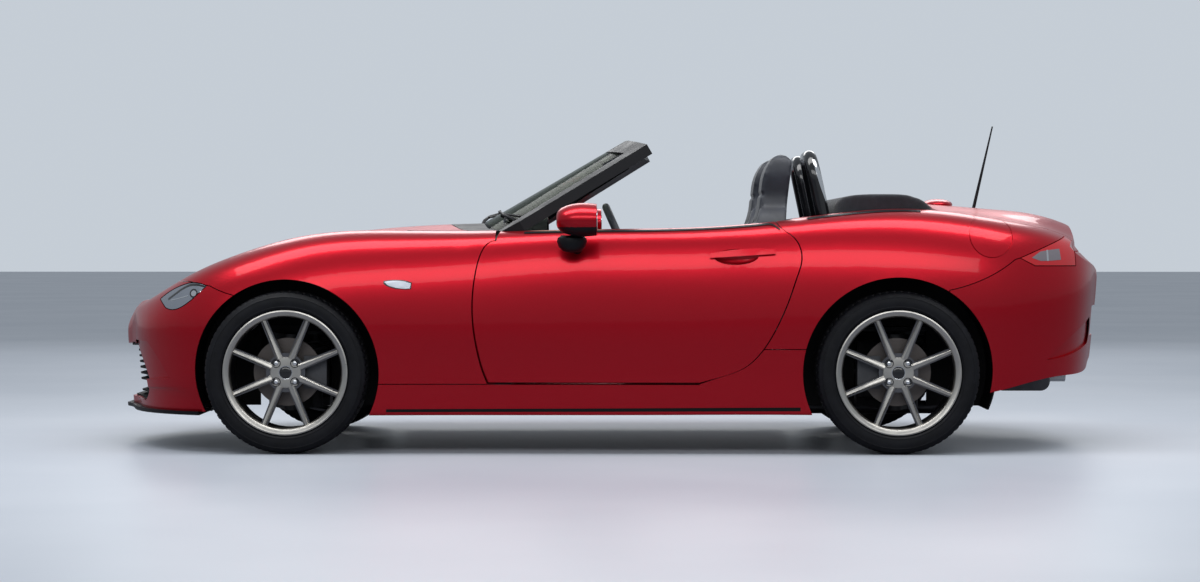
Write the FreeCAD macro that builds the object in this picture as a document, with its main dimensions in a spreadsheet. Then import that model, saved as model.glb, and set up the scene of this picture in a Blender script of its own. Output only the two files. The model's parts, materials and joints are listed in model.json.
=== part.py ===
import FreeCAD
import Part
import Sketcher
import math
import os

# Two-seat open sports car, full size, roof folded
# Millimetres. Nose toward -X, left side toward -Y, ground at Z = 0, origin below the middle

V = FreeCAD.Vector
X_AXIS = V(1, 0, 0)
Y_AXIS = V(0, 1, 0)
Z_AXIS = V(0, 0, 1)
ORIGIN = V(0, 0, 0)

doc = FreeCAD.newDocument("ConvertibleCar")
sheet = doc.addObject("Spreadsheet::Sheet", "Sizes")

SIZES = (
    # Whole car
    ("overall_length", 3915),
    ("body_width", 1735),
    ("skin_rise", 960),
    ("skin_floor", 155),
    ("wheelbase", 2310),
    ("front_overhang", 730),
    ("overrun", 20),
    ("seat_gap", 0.3),
    # Body panels
    ("panel_wall", 16),
    ("shut_gap", 5),
    ("seam_gap", 3.5),
    ("arch_front_radius", 352),
    ("arch_rear_radius", 360),
    ("arch_front_depth", 408),
    ("arch_rear_depth", 385),
    ("house_grow", 12),
    ("liner_wall", 6),
    ("lamp_depth", 60),
    ("tail_bow_radius", 1900),
    ("lid_face_set_in", 114),
    # Doors and sills
    ("door_wall", 95),
    ("door_axis_from_nose", 1518),
    ("door_axis_set_in", 76),
    ("door_barrel_radius", 88),
    ("sill_top", 262),
    ("sill_width", 130),
    ("cabin_half_width", 690),
    # Cabin structure
    ("floor_plate", 15),
    ("firewall_from_nose", 1390),
    ("firewall_plate", 20),
    ("bulkhead_from_nose", 2648),
    ("tunnel_width", 250),
    ("tunnel_rise", 230),
    ("tunnel_wall", 12),
    ("pillar_inset", 60),
    ("pillar_reach", 70),
    ("pillar_back", 60),
    ("pillar_top", 836),
    ("deck_up", 840),
    ("post_depth", 130),
    ("boot_rear_set_in", 170),
    ("rear_panel_drop", 60),
    ("rear_panel_rise", 300),
    ("tail_bracket_set_in", 260),
    ("tail_bracket_reach", 60),
    ("tail_bracket_up", 730),
    ("tail_bracket_height", 60),
    ("lamp_bracket_back", 350),
    ("lamp_bracket_depth", 90),
    ("crossbeam_from_nose", 110),
    ("apron_reach", 130),
    ("apron_up", 760),
    ("liner_foot", 10),
    ("axle_window_room", 20),
    ("stop_radius", 12),
    ("soft_top_set_back", 172),
    ("soft_top_up", 985),
    ("hoop_foot_back", 140),
    ("hoop_lean", 60),
    ("hoop_bend", 90),
    ("seat_back_lean", 147),
    ("dash_low", 600),
    ("console_height", 60),
    ("steering_hub_radius", 60),
    ("steering_hub_depth", 70),
    ("steering_spoke_width", 40),
    ("column_length", 260),
    ("hub_face", 45),
    ("disc_hat_wall", 8),
    ("disc_clearance", 6),
    ("upright_depth", 36),
    ("caliper_lip", 22),
    ("caliper_length", 86),
    ("caliper_height", 124),
    ("pin_block", 34),
    ("steering_arm", 110),
    ("steering_arm_drop", 40),
    ("crossmember_half", 370),
    ("crossmember_width", 240),
    ("crossmember_height", 50),
    ("boot_floor_up", 400),
    ("boot_half_width", 470),
    ("tow_out", 300),
    ("tow_cover_radius", 24),
    ("tow_boss_radius", 18),
    ("tow_thread_radius", 8),
    ("tow_thread_length", 40),
    ("recess_depth", 8),
    ("grille_depth", 60),
    ("grille_rim", 12),
    ("grille_bar", 7),
    ("slat_count", 8),
    ("tray_length", 420),
    ("tray_thick", 14),
    ("tray_reach", 24),
    ("handle_stand_off", 14),
    ("handle_thick", 14),
    ("pocket_from_nose", 2430),
    ("pocket_up", 745),
    ("pocket_half_length", 84),
    ("pocket_half_height", 34),
    ("pocket_depth", 20),
    ("flap_from_nose", 3398),
    ("flap_up", 826),
    ("flap_radius", 86),
    ("flap_groove", 3),
    ("plate_set_in", 86),
    ("plate_half_width", 262),
    ("plate_low", 430),
    ("plate_height", 118),
    ("plate_wall", 8),
    ("plate_hole_radius", 3),
    ("plate_hole_spread", 178),
    ("fin_half_length", 60),
    ("fin_half_width", 110),
    ("fin_height", 22),
    ("fin_from_nose", 3275),
    ("fin_up", 952),
    ("frame_rail_width", 80),
    ("frame_rail_height", 100),
    ("frame_rail_up", 455),
    ("frame_rail_spread", 700),
    ("crossbeam_depth", 70),
    # Windscreen
    ("header_up", 1208),
    ("header_from_nose", 2010),
    ("screen_foot_up", 868),
    ("screen_foot_from_nose", 1425),
    ("screen_foot_half", 690),
    ("screen_head_half", 545),
    ("screen_foot_bow", 165),
    ("screen_head_bow", 85),
    ("screen_head_drop", 30),
    ("screen_frame_depth", 42),
    ("pillar_width", 62),
    ("header_height", 46),
    ("screen_glass", 6),
    # Cabin fittings
    ("seat_spread", 740),
    ("seat_width", 480),
    ("seat_cushion_length", 520),
    ("seat_cushion_thick", 150),
    ("seat_back_thick", 120),
    ("seat_back_height", 906),
    ("seat_hip_from_nose", 2517),
    ("seat_hip_up", 235),
    ("hoop_up", 1158),
    ("hoop_width", 300),
    ("hoop_tube_radius", 27),
    ("dash_top_up", 838),
    ("dash_depth", 330),
    ("steering_radius", 183),
    ("steering_rim_radius", 15),
    ("steering_from_nose", 2010),
    ("steering_up", 770),
    ("steering_rake", 24),
    # Wheels and tyres
    ("track_front", 1495),
    ("track_rear", 1505),
    ("tyre_radius", 308),
    ("tyre_width", 205),
    ("tyre_shoulder", 24),
    ("tyre_crown_edge", 31),
    ("rim_radius", 222),
    ("rim_lip", 14),
    ("rim_width", 190),
    ("rim_wall", 9),
    ("hub_pad_radius", 74),
    ("hub_pad_depth", 30),
    ("spoke_count", 8),
    ("spoke_width", 24),
    ("spoke_root_width", 29),
    ("spoke_root_radius", 59),
    ("spoke_depth", 32),
    ("centre_bore_radius", 27),
    ("lug_count", 4),
    ("lug_circle_radius", 50),
    ("lug_hole_radius", 7),
    ("disc_radius", 129),
    ("disc_thickness", 22),
    ("disc_hat_radius", 68),
    ("disc_hat_depth", 36),
    ("spindle_radius", 26),
    ("kingpin_set_in", 82),
    ("kingpin_radius", 14),
    ("upright_width", 70),
    ("collar_radius", 42),
    ("ball_spread", 290),
    ("ball_low", 150),
    # Engine and running gear
    ("engine_length", 560),
    ("engine_width", 480),
    ("engine_height", 520),
    ("engine_from_nose", 790),
    ("shaft_up", 280),
    ("bell_radius", 90),
    ("bell_length", 180),
    ("gearbox_radius", 78),
    ("gearbox_length", 420),
    ("shaft_radius", 34),
    ("exhaust_out", 60),
    ("silencer_from_tail", 170),
    ("silencer_length", 240),
    ("silencer_width", 430),
    ("silencer_height", 130),
    ("silencer_low", 195),
    ("silencer_corner", 45),
    ("exhaust_rise_length", 250),
    ("tip_set_in", 84),
    ("mirror_from_nose", 1830),
    ("mirror_out", 905),
    ("mirror_up", 884),
    ("mirror_foot_in", 90),
    ("mirror_foot_radius", 20),
    ("mirror_length", 150),
    ("mirror_width", 190),
    ("mirror_height", 125),
    ("antenna_from_nose", 3480),
    ("antenna_out", 600),
    ("antenna_foot_up", 873),
    ("antenna_lean", 98),
    ("antenna_length", 430),
    ("antenna_foot_radius", 8),
    ("antenna_tip_radius", 3),
    ("arm_thick", 34),
    ("damper_out", 500),
    ("damper_set_back", 76),
    ("shaft_room", 34),
    ("differential_radius", 92),
    ("differential_width", 230),
    ("drive_shaft_radius", 15),
    ("damper_radius", 28),
    ("spring_radius", 58),
    ("exhaust_radius", 27),
    ("tailpipe_radius", 38),
)

for row, (alias, number) in enumerate(SIZES, start=1):
    sheet.set("A%d" % row, alias.replace("_", " "))
    sheet.set("B%d" % row, str(number))
    sheet.setAlias("B%d" % row, alias)
doc.recompute()


def size(alias):
    """Value of one named cell of the sheet."""
    return float(getattr(sheet, alias))


LENGTH = size("overall_length")
HALF_WIDTH = size("body_width") / 2
RISE = size("skin_rise")
FLOOR = size("skin_floor")
NOSE = -LENGTH / 2
TAIL = LENGTH / 2
FRONT_AXLE = NOSE + size("front_overhang")
REAR_AXLE = FRONT_AXLE + size("wheelbase")
HUB_UP = size("tyre_radius")
WALL = size("panel_wall")
GAP = size("shut_gap")
SEAT = size("seat_gap")
OVER = size("overrun")

# Station shares of the skin: distance from the nose as a share of the length, widest half width
# as a share of the half body width, then heights and the crown's place as shares of the skin rise
# or of the half body width: waist height, crown out, crown height, spine height
skin_station_shares = (
    (0.0000, 0.060, 0.400, 0.040, 0.465, 0.480),
    (0.0022, 0.130, 0.415, 0.090, 0.495, 0.506),
    (0.0090, 0.200, 0.430, 0.140, 0.535, 0.555),
    (0.0220, 0.432, 0.450, 0.300, 0.572, 0.590),
    (0.0420, 0.655, 0.475, 0.470, 0.608, 0.620),
    (0.0680, 0.800, 0.500, 0.600, 0.665, 0.663),
    (0.1000, 0.905, 0.515, 0.690, 0.730, 0.716),
    (0.1430, 0.968, 0.525, 0.740, 0.795, 0.778),
    (0.1880, 1.000, 0.530, 0.760, 0.846, 0.828),
    (0.2350, 0.990, 0.530, 0.768, 0.871, 0.872),
    (0.2900, 0.972, 0.530, 0.775, 0.874, 0.898),
    (0.3650, 0.962, 0.530, 0.800, 0.871, 0.912),
    (0.4600, 0.966, 0.535, 0.838, 0.877, 0.915),
    (0.5600, 0.972, 0.540, 0.848, 0.882, 0.925),
    (0.6500, 0.980, 0.555, 0.840, 0.905, 0.950),
    (0.7300, 1.000, 0.575, 0.815, 0.945, 0.975),
    (0.7900, 1.000, 0.590, 0.785, 0.958, 0.994),
    (0.8400, 0.965, 0.600, 0.750, 0.943, 0.988),
    (0.8880, 0.905, 0.610, 0.700, 0.912, 0.972),
    (0.9280, 0.810, 0.620, 0.620, 0.880, 0.955),
    (0.9590, 0.680, 0.620, 0.500, 0.840, 0.920),
    (0.9820, 0.430, 0.615, 0.300, 0.790, 0.865),
    (0.9950, 0.170, 0.600, 0.120, 0.735, 0.790),
    (1.0000, 0.080, 0.570, 0.050, 0.690, 0.735),
)
# Nose and tail lean in toward the ground: slope at the end, the height share it turns about, and
# the share of the length over which it fades out
nose_lean_share = 0.081
nose_lean_top_share = 0.480
tail_lean_share = 0.100
tail_lean_top_share = 0.710
lean_fade_share = 0.110

# Rows up the side from the sill to the crown: share of the way in from the widest line to the
# crown, and share of the way from floor to waist, or from waist to crown
lower_row_shares = ((0.34, 0.0), (0.16, 0.28), (0.03, 0.66), (0.0, 1.0))
upper_row_shares = ((0.06, 0.34), (0.24, 0.66), (0.56, 0.90))
# Rows from the crown in to the spine: share of the crown's distance, share of the rise
top_row_shares = ((1.0, 0.0), (0.76, 0.26), (0.42, 0.76), (0.0, 1.0))


def leaning(along, point):
    """Point of a section, moved along the car by the lean of the nose or of the tail."""
    nose_fade = max(0, 1 - along / lean_fade_share) ** 2
    tail_fade = max(0, 1 - (1 - along) / lean_fade_share) ** 2
    nose = nose_fade * nose_lean_share * (nose_lean_top_share * RISE - point.z)
    tail = tail_fade * tail_lean_share * (tail_lean_top_share * RISE - point.z)
    return V(point.x + nose - tail, point.y, point.z)


def section_points(shares):
    """Half section of the skin at one station, from the sill to the spine."""
    along, wide, waist, crown_out, crown_up, spine_up = shares
    x = NOSE + along * LENGTH
    half = wide * HALF_WIDTH
    crown = crown_out * HALF_WIDTH
    waist_z = waist * RISE
    crown_z = crown_up * RISE
    spine_z = spine_up * RISE
    points = []
    for inward, up in lower_row_shares:
        points.append(V(x, half - inward * (half - crown), FLOOR + up * (waist_z - FLOOR)))
    for inward, up in upper_row_shares:
        points.append(V(x, half - inward * (half - crown), waist_z + up * (crown_z - waist_z)))
    for out, up in top_row_shares:
        points.append(V(x, crown * out, crown_z + up * (spine_z - crown_z)))
    return [leaning(along, point) for point in points]


def mirrored_row(half_points):
    """Whole section, left sill over the spine to the right sill."""
    left = [V(p.x, -p.y, p.z) for p in half_points]
    return left + list(reversed(half_points[:-1]))


SKIN_GRID = [mirrored_row(section_points(shares)) for shares in skin_station_shares]
SKIN = Part.BSplineSurface()
SKIN.interpolate(SKIN_GRID)


def inset_point(point, inset):
    """Point of the skin drawn toward the car's middle, the floor's edge dropped clear."""
    share_x = 1 - inset / TAIL
    share_y = 1 - inset / HALF_WIDTH
    drop = (RISE - inset - FLOOR + OVER) / (RISE - FLOOR)
    return V(point.x * share_x, point.y * share_y, RISE - inset - (RISE - point.z) * drop)


def closed_solid(surface):
    """Skin surface closed by flat nose, tail and floor faces."""
    face = surface.toShape()
    u0, u1, v0, v1 = surface.bounds()
    front = surface.uIso(u0).toShape()
    rear = surface.uIso(u1).toShape()
    left = surface.vIso(v0).toShape()
    right = surface.vIso(v1).toShape()
    front_sill = Part.makeLine(surface.value(u0, v0), surface.value(u0, v1))
    rear_sill = Part.makeLine(surface.value(u1, v0), surface.value(u1, v1))
    caps = (
        Part.Face(Part.Wire(Part.__sortEdges__([front, front_sill]))),
        Part.Face(Part.Wire(Part.__sortEdges__([rear, rear_sill]))),
        Part.Face(Part.Wire(Part.__sortEdges__([left, rear_sill, right, front_sill]))),
    )
    shell = Part.makeShell([face] + list(caps))
    shell.sewShape()
    solid = Part.makeSolid(Part.Shell(shell.Faces))
    if solid.Volume < 0:
        solid.reverse()
    return solid


def skin_solid(inset=0.0):
    """Everything inside the skin, or inside the skin moved inward by the inset."""
    surface = SKIN.copy()
    if inset:
        for i, row in enumerate(surface.getPoles(), start=1):
            for j, pole in enumerate(row, start=1):
                surface.setPole(i, j, inset_point(pole, inset))
    return closed_solid(surface)


# Outlines in the side view are runs of points, each a share of the length from the nose and a
# share of the skin rise. A run of two points is straight, a longer one is a smooth curve


def side_point(shares, y=0.0):
    """Point of the side view from its shares of the length and of the skin rise."""
    return V(NOSE + shares[0] * LENGTH, y, shares[1] * RISE)


def plan_point(shares, z=0.0):
    """Point of the plan view from its shares of the length and of the half body width."""
    return V(NOSE + shares[0] * LENGTH, shares[1] * HALF_WIDTH, z)


def run_edge(points):
    """Straight edge through two points, or a smooth curve through more."""
    if len(points) == 2:
        return Part.makeLine(points[0], points[1])
    curve = Part.BSplineCurve()
    curve.interpolate(points)
    return curve.toShape()


def closed_face(runs):
    """Flat face inside a closed outline of runs, closed by a straight edge if left open."""
    edges = [run_edge(points) for points in runs]
    first = runs[0][0]
    last = runs[-1][-1]
    if (last - first).Length > SEAT:
        edges.append(Part.makeLine(last, first))
    return Part.Face(Part.Wire(edges))


def grown_face(face, grow):
    """Flat face grown all round, its curved edges drawn again as plain curves."""
    if not grow:
        return face
    edges = []
    for edge in face.makeOffset2D(grow).OuterWire.OrderedEdges:
        if edge.Curve.TypeId in ("Part::GeomLine", "Part::GeomCircle"):
            edges.append(edge)
        else:
            edges.append(run_edge(edge.discretize(Number=outline_samples)))
    return Part.Face(Part.Wire(Part.__sortEdges__(edges)))


outline_samples = 32


def side_zone(runs, y_from, y_to, grow=0.0):
    """Block with a side-view outline, between two planes across the car."""
    face = closed_face([[side_point(p) for p in run] for run in runs])
    face = grown_face(face, grow)
    face.translate(V(0, y_from, 0))
    return face.extrude(V(0, y_to - y_from, 0))


def box_between(x0, x1, y0, y1, z0, z1):
    """Box between two corners."""
    return Part.makeBox(x1 - x0, y1 - y0, z1 - z0, V(x0, y0, z0))


def mirrored(shape):
    """The same shape on the right-hand side."""
    return shape.mirror(ORIGIN, Y_AXIS)


def shifted(shape, move):
    """Copy of a shape moved by a vector."""
    copy = shape.copy()
    copy.translate(move)
    return copy


def both_sides(shape):
    """A left-hand shape and its mirror image as one compound."""
    return Part.makeCompound([shape, mirrored(shape)])


def biggest(shape):
    """The largest solid of a shape, leaving the crumbs of a cut behind."""
    return max(shape.Solids, key=lambda solid: solid.Volume)


PARTS = []


def add_part(label, shape):
    """One named sub-part of the document, its shape made in code."""
    feature = doc.addObject("Part::Feature", label)
    feature.Label = label
    feature.Shape = shape
    PARTS.append(feature)
    return feature


def tail_step(inset=0.0):
    """Air behind the boot lid's rear face and above the bumper's shelf, bowed in plan."""
    face_x = TAIL - size("lid_face_set_in") - inset
    centre = V(face_x - size("tail_bow_radius"), 0, 0)
    runs = [[V(face_x + p[0] * LENGTH, 0, p[1] * RISE - inset) for p in run]
            for run in tail_step_shares]
    runs.append([runs[-1][-1], V(runs[-1][-1].x, 0, runs[0][0].z)])
    face = closed_face(runs)
    face.rotate(centre, Z_AXIS, -tail_step_half_angle)
    return face.revolve(centre, Z_AXIS, 2 * tail_step_half_angle)


tail_step_half_angle = 30
tail_step_shares = (
    ((0.0, 1.08), (-0.0010, 0.94)),
    ((-0.0010, 0.94), (-0.0020, 0.925), (0.0, 0.860), (0.0018, 0.8167)),
    ((0.0018, 0.8167), (0.0135, 0.7635), (0.0291, 0.7094), (0.0600, 0.600)),
)


def body_solid(inset=0.0):
    """Everything inside the panels moved inward by the inset, with the step at the tail."""
    return biggest(skin_solid(inset).cut(tail_step(inset)))


OUTER = body_solid()
INNER = body_solid(WALL)
SEATED = body_solid(WALL + SEAT)
CLEAR = body_solid(WALL + GAP)
THIN = OUTER.cut(INNER)
ABOVE_CLEAR = OUTER.cut(CLEAR)
SIDE = HALF_WIDTH + 8 * OVER
HIGH = 2 * RISE
CABIN_HALF = size("cabin_half_width")
SILL_TOP = size("sill_top")
SEAM = size("seam_gap")
# The skin between the axles alone, whose sides the door and sill walls copy
MIDDLE = OUTER.common(box_between(FRONT_AXLE - OVER, REAR_AXLE + OVER, -SIDE, SIDE, 0, HIGH))

# Door: it turns on an upright axis just behind its front shut line, so its front end is a barrel
# about that axis and its rear end follows circles about it
DOOR_AXIS_X = NOSE + size("door_axis_from_nose")
DOOR_AXIS_Y = -(HALF_WIDTH - size("door_axis_set_in"))
door_barrel_shares = ((0.36, 0.2823), (1.0, 0.62), (0.22, 0.862))
door_foot_share = 0.2823
door_rear_shares = (
    (0.5856, 0.2823), (0.6098, 0.3094), (0.6287, 0.3417), (0.6479, 0.4198), (0.6625, 0.525),
    (0.6706, 0.6021), (0.6791, 0.7031), (0.6831, 0.7635), (0.6821, 0.8052), (0.6747, 0.8562),
    (0.6625, 0.8948), (0.6600, 0.9300),
)
door_swing_half_angle = 80


def door_zone(grow=0.0):
    """Room of the left door with its barrel, or that room grown by a gap."""
    axis_foot = V(DOOR_AXIS_X, DOOR_AXIS_Y, 0)
    reach = size("door_barrel_radius")
    barrel = [V(DOOR_AXIS_X + out * reach + grow, DOOR_AXIS_Y, up * RISE)
              for out, up in door_barrel_shares]
    foot = barrel[0].z - grow
    barrel[0].z = foot
    axis_low = V(DOOR_AXIS_X, DOOR_AXIS_Y, foot)
    axis_high = V(DOOR_AXIS_X, DOOR_AXIS_Y, HIGH)
    barrel_high = V(barrel[-1].x, DOOR_AXIS_Y, HIGH)
    front = closed_face([[axis_high, axis_low], [axis_low, barrel[0]], barrel,
                         [barrel[-1], barrel_high]])
    front = front.revolve(axis_foot, Z_AXIS, 360)
    rear = [side_point(share, DOOR_AXIS_Y) + V(grow, 0, 0) for share in door_rear_shares]
    rear[0].z = foot
    rear_high = V(rear[-1].x, DOOR_AXIS_Y, HIGH)
    profile = closed_face([[axis_high, axis_low], [axis_low, rear[0]], rear,
                           [rear[-1], rear_high]])
    profile.rotate(axis_foot, Z_AXIS, -door_swing_half_angle)
    slab = profile.revolve(axis_foot, Z_AXIS, 2 * door_swing_half_angle)
    behind = box_between(DOOR_AXIS_X, TAIL, -SIDE, -CABIN_HALF + grow, 0, HIGH)
    return front.fuse(slab.common(behind))


DOOR = door_zone()
DOOR_ROOM = door_zone(GAP)


def side_wall(thickness):
    """Left side between the axles as one wall of even thickness across the car."""
    left = MIDDLE.common(box_between(NOSE, TAIL, -SIDE, -HALF_WIDTH / 2, 0, HIGH))
    return left.cut(shifted(MIDDLE, Y_AXIS * thickness))


def door_panel():
    """Left door as thick as the real one, with its top rail."""
    door = side_wall(size("door_wall")).common(DOOR)
    inboard = box_between(NOSE, TAIL, -CABIN_HALF, SIDE, 0, HIGH)
    return biggest(door.cut(inboard))


# Hood: cut out of the skin along a slanted direction, so that its nose clears the bumper as it
# swings up about its rear corners
hood_plan_shares = (
    ((0.0640, 0.0), (0.0660, -0.20), (0.0740, -0.38), (0.0900, -0.530)),
    ((0.0900, -0.530), (0.1400, -0.625), (0.2000, -0.668), (0.2700, -0.700), (0.3700, -0.735)),
    ((0.3700, -0.735), (0.3640, -0.60), (0.3500, -0.30), (0.3450, 0.0)),
)
hood_slant_share = -0.13
hood_foot_share = 0.55
# Boot lid: deck and rear face between the tail lamps
boot_plan_shares = (
    ((0.8200, 0.0), (0.8205, -0.30), (0.8230, -0.55)),
    ((0.8230, -0.55), (0.8320, -0.640), (0.8500, -0.665)),
    ((0.8500, -0.665), (0.9100, -0.605), (0.9550, -0.475)),
    ((0.9550, -0.475), (1.02, -0.40)),
    ((1.02, -0.40), (1.02, 0.0)),
)
boot_shelf_share = 0.795


def plan_zone(half_runs, slant_share, foot_share, grow=0.0):
    """Block with a plan outline given for the left half, extruded up along a slant."""
    foot = foot_share * RISE
    left = [[plan_point(p, foot) for p in run] for run in half_runs]
    right = [[V(p.x, -p.y, p.z) for p in reversed(run)] for run in reversed(left)]
    face = grown_face(closed_face(left + right), grow)
    return face.extrude(V(slant_share, 0, 1) * (HIGH - foot))


def boot_zone(grow=0.0):
    """Room of the boot lid above the bumper's shelf."""
    zone = plan_zone(boot_plan_shares, 0.0, boot_shelf_share / 2, grow)
    shelf = boot_shelf_share * RISE - grow
    return zone.common(box_between(NOSE, TAIL + LENGTH, -SIDE, SIDE, shelf, HIGH))


HOOD = plan_zone(hood_plan_shares, hood_slant_share, hood_foot_share)
HOOD_ROOM = plan_zone(hood_plan_shares, hood_slant_share, hood_foot_share, GAP)
BOOT = boot_zone()
BOOT_ROOM = boot_zone(GAP)

# Lamps and bumpers
headlamp_shares = (
    ((0.0563, 0.6052), (0.0700, 0.6420), (0.0881, 0.6687)),
    ((0.0881, 0.6687), (0.0980, 0.6700), (0.1070, 0.6600)),
    ((0.1070, 0.6600), (0.0934, 0.6094)),
    ((0.0934, 0.6094), (0.0850, 0.5850), (0.0760, 0.5690), (0.0640, 0.5740)),
    ((0.0640, 0.5740), (0.0563, 0.6052)),
)
tail_lamp_shares = (
    ((0.8970, 0.7706), (0.9510, 0.8580)),
    ((0.9510, 0.8580), (0.9560, 0.8355)),
    ((0.9560, 0.8355), (0.9560, 0.7406)),
    ((0.9560, 0.7406), (0.9114, 0.7416)),
    ((0.9114, 0.7416), (0.8970, 0.7706)),
)
headlamp_inner_share = 0.52
tail_lamp_inner_share = 0.556
bumper_front_shares = (
    ((-0.05, 0.0), (-0.05, 0.675)),
    ((-0.05, 0.675), (0.0881, 0.675)),
    ((0.0881, 0.675), (0.1115, 0.6583)),
    ((0.1115, 0.6583), (0.1260, 0.634), (0.1404, 0.6188)),
    ((0.1404, 0.6188), (0.1404, 0.0)),
)
bumper_rear_shares = (
    ((1.05, 0.0), (1.05, 0.795)),
    ((1.05, 0.795), (0.9200, 0.795)),
    ((0.9200, 0.795), (0.8911, 0.7635)),
    ((0.8911, 0.7635), (0.8700, 0.7080), (0.8433, 0.6625), (0.8254, 0.6438)),
    ((0.8254, 0.6438), (0.8254, 0.0)),
)


def lamp_zone(shares, inner_share, grow=0.0):
    """Room of a left lamp, seen from the side, outboard of its inner end."""
    return side_zone(shares, -SIDE, -inner_share * HALF_WIDTH + grow, grow)


def arch_room(axle_x, radius, depth):
    """Round room of a left wheel arch."""
    start = V(axle_x, -SIDE, HUB_UP)
    return Part.makeCylinder(radius, SIDE - HALF_WIDTH + depth, start, Y_AXIS)


TOW_UP = size("frame_rail_up") + size("frame_rail_height") / 2
HOUSE = size("house_grow")
FRONT_DEPTH = size("arch_front_depth")
REAR_DEPTH = size("arch_rear_depth")
FRONT_ARCH = arch_room(FRONT_AXLE, size("arch_front_radius"), FRONT_DEPTH)
REAR_ARCH = arch_room(REAR_AXLE, size("arch_rear_radius"), REAR_DEPTH)
HOUSE_GROW = HOUSE + size("liner_wall") + SEAT
FRONT_HOUSE = arch_room(FRONT_AXLE, size("arch_front_radius") + HOUSE_GROW, FRONT_DEPTH + SEAT)
REAR_HOUSE = arch_room(REAR_AXLE, size("arch_rear_radius") + HOUSE_GROW, REAR_DEPTH + SEAT)
HEADLAMP = lamp_zone(headlamp_shares, headlamp_inner_share)
HEADLAMP_ROOM = lamp_zone(headlamp_shares, headlamp_inner_share, SEAM)
TAIL_LAMP = lamp_zone(tail_lamp_shares, tail_lamp_inner_share)
TAIL_LAMP_ROOM = lamp_zone(tail_lamp_shares, tail_lamp_inner_share, SEAM)


def fender_panel():
    """Left front fender with half of the wheel arch."""
    wall = box_between(NOSE, DOOR_AXIS_X, -SIDE, -HALF_WIDTH / 3, SILL_TOP + SEAM, HIGH)
    panel = THIN.common(wall)
    bumper = side_zone(bumper_front_shares, -SIDE, 0, SEAM)
    cowl = box_between(NOSE + cowl_start_share * LENGTH, REAR_AXLE,
                       -cowl_half_share * HALF_WIDTH, 0, 0, HIGH)
    panel = panel.cut([HOOD_ROOM, DOOR_ROOM, FRONT_ARCH, bumper, cowl])
    return biggest(biggest(panel).cut(HEADLAMP_ROOM))


cowl_start_share = 0.30
cowl_half_share = 0.745


def quarter_panel():
    """Left rear quarter with half of the wheel arch, up to the boot lid."""
    wall = box_between(DOOR_AXIS_X + LENGTH / 5, TAIL, -SIDE, -HALF_WIDTH / 3,
                       quarter_foot_share * RISE, HIGH)
    panel = THIN.common(wall)
    bumper = side_zone(bumper_rear_shares, -SIDE, 0, SEAM)
    well = box_between(NOSE, NOSE + boot_plan_shares[0][0][0] * LENGTH,
                       -soft_top_half_share * HALF_WIDTH, 0, 0, HIGH)
    cabin = box_between(NOSE, NOSE + size("bulkhead_from_nose"), -CABIN_HALF, 0, 0, HIGH)
    panel = panel.cut([DOOR_ROOM, REAR_ARCH, BOOT_ROOM, TAIL_LAMP_ROOM, bumper, well, cabin])
    return biggest(panel)


quarter_foot_share = 0.415
soft_top_half_share = 0.70


def sill_beam():
    """Left sill, closed and as deep as the door opening's foot."""
    beam = side_wall(size("sill_width"))
    low = box_between(FRONT_AXLE, REAR_AXLE, -SIDE, 0, 0, SILL_TOP)
    step_x = NOSE + door_rear_shares[0][0] * LENGTH
    step = box_between(step_x, REAR_AXLE, -SIDE, 0, 0, quarter_foot_share * RISE - SEAM)
    beam = beam.common(low.fuse(step)).cut([DOOR_ROOM, FRONT_ARCH, REAR_ARCH])
    beam = beam.cut([FRONT_HOUSE.common(INNER), REAR_HOUSE.common(INNER)])
    return biggest(beam)


inlet_shares = (
    ((0.52, 0.19), (0.60, 0.27), (0.50, 0.37), (0.0, 0.405)),
)


def front_bumper():
    """Front bumper skin round the nose, with its inlet."""
    panel = THIN.common(side_zone(bumper_front_shares, -SIDE, SIDE))
    arches = [FRONT_ARCH, mirrored(FRONT_ARCH), HEADLAMP_ROOM, mirrored(HEADLAMP_ROOM)]
    panel = panel.cut([HOOD_ROOM] + arches)
    recess = bumper_recess(front_recess_shares, V(1, 1, 0))
    eye = Part.makeCylinder(size("tow_cover_radius"), size("crossbeam_from_nose") + OVER,
                            V(NOSE - OVER, size("tow_out"), TOW_UP), X_AXIS)
    return biggest(panel.cut([inlet(), recess, mirrored(recess), eye]))


def grille():
    """Slats and bars behind the air inlet, held in a rim against the bumper's back."""
    depth = size("grille_depth")
    layer = SEATED.cut(shifted(OUTER, X_AXIS * depth))
    rim = inlet(size("grille_rim")).cut(inlet(-size("grille_bar")))
    low = inlet_shares[0][0][1] * RISE
    high = inlet_shares[0][-1][1] * RISE
    pitch = (high - low) / (size("slat_count") + 1)
    slat = size("grille_bar")
    bars = [box_between(NOSE, NOSE + LENGTH / 8, -HALF_WIDTH, HALF_WIDTH,
                        low + pitch * (i + 1) - slat / 2, low + pitch * (i + 1) + slat / 2)
            for i in range(int(size("slat_count")))]
    room = inlet(size("grille_rim"))
    front = shifted(OUTER, X_AXIS * (depth - 3 * slat))
    whole = rim.fuse([bar.common(room).common(front) for bar in bars]).common(layer)
    return biggest(whole)


def undertray():
    """Black tray under the nose, its front edge the lip that shows below the bumper."""
    foot = OUTER.common(box_between(NOSE, NOSE + size("tray_length"), -SIDE, SIDE, FLOOR,
                                    FLOOR + size("tray_thick")))
    foot = foot.cut([FRONT_ARCH, mirrored(FRONT_ARCH)])
    foot.translate(V(-size("tray_reach"), 0, -size("tray_thick") - SEAT))
    return biggest(foot)


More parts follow.
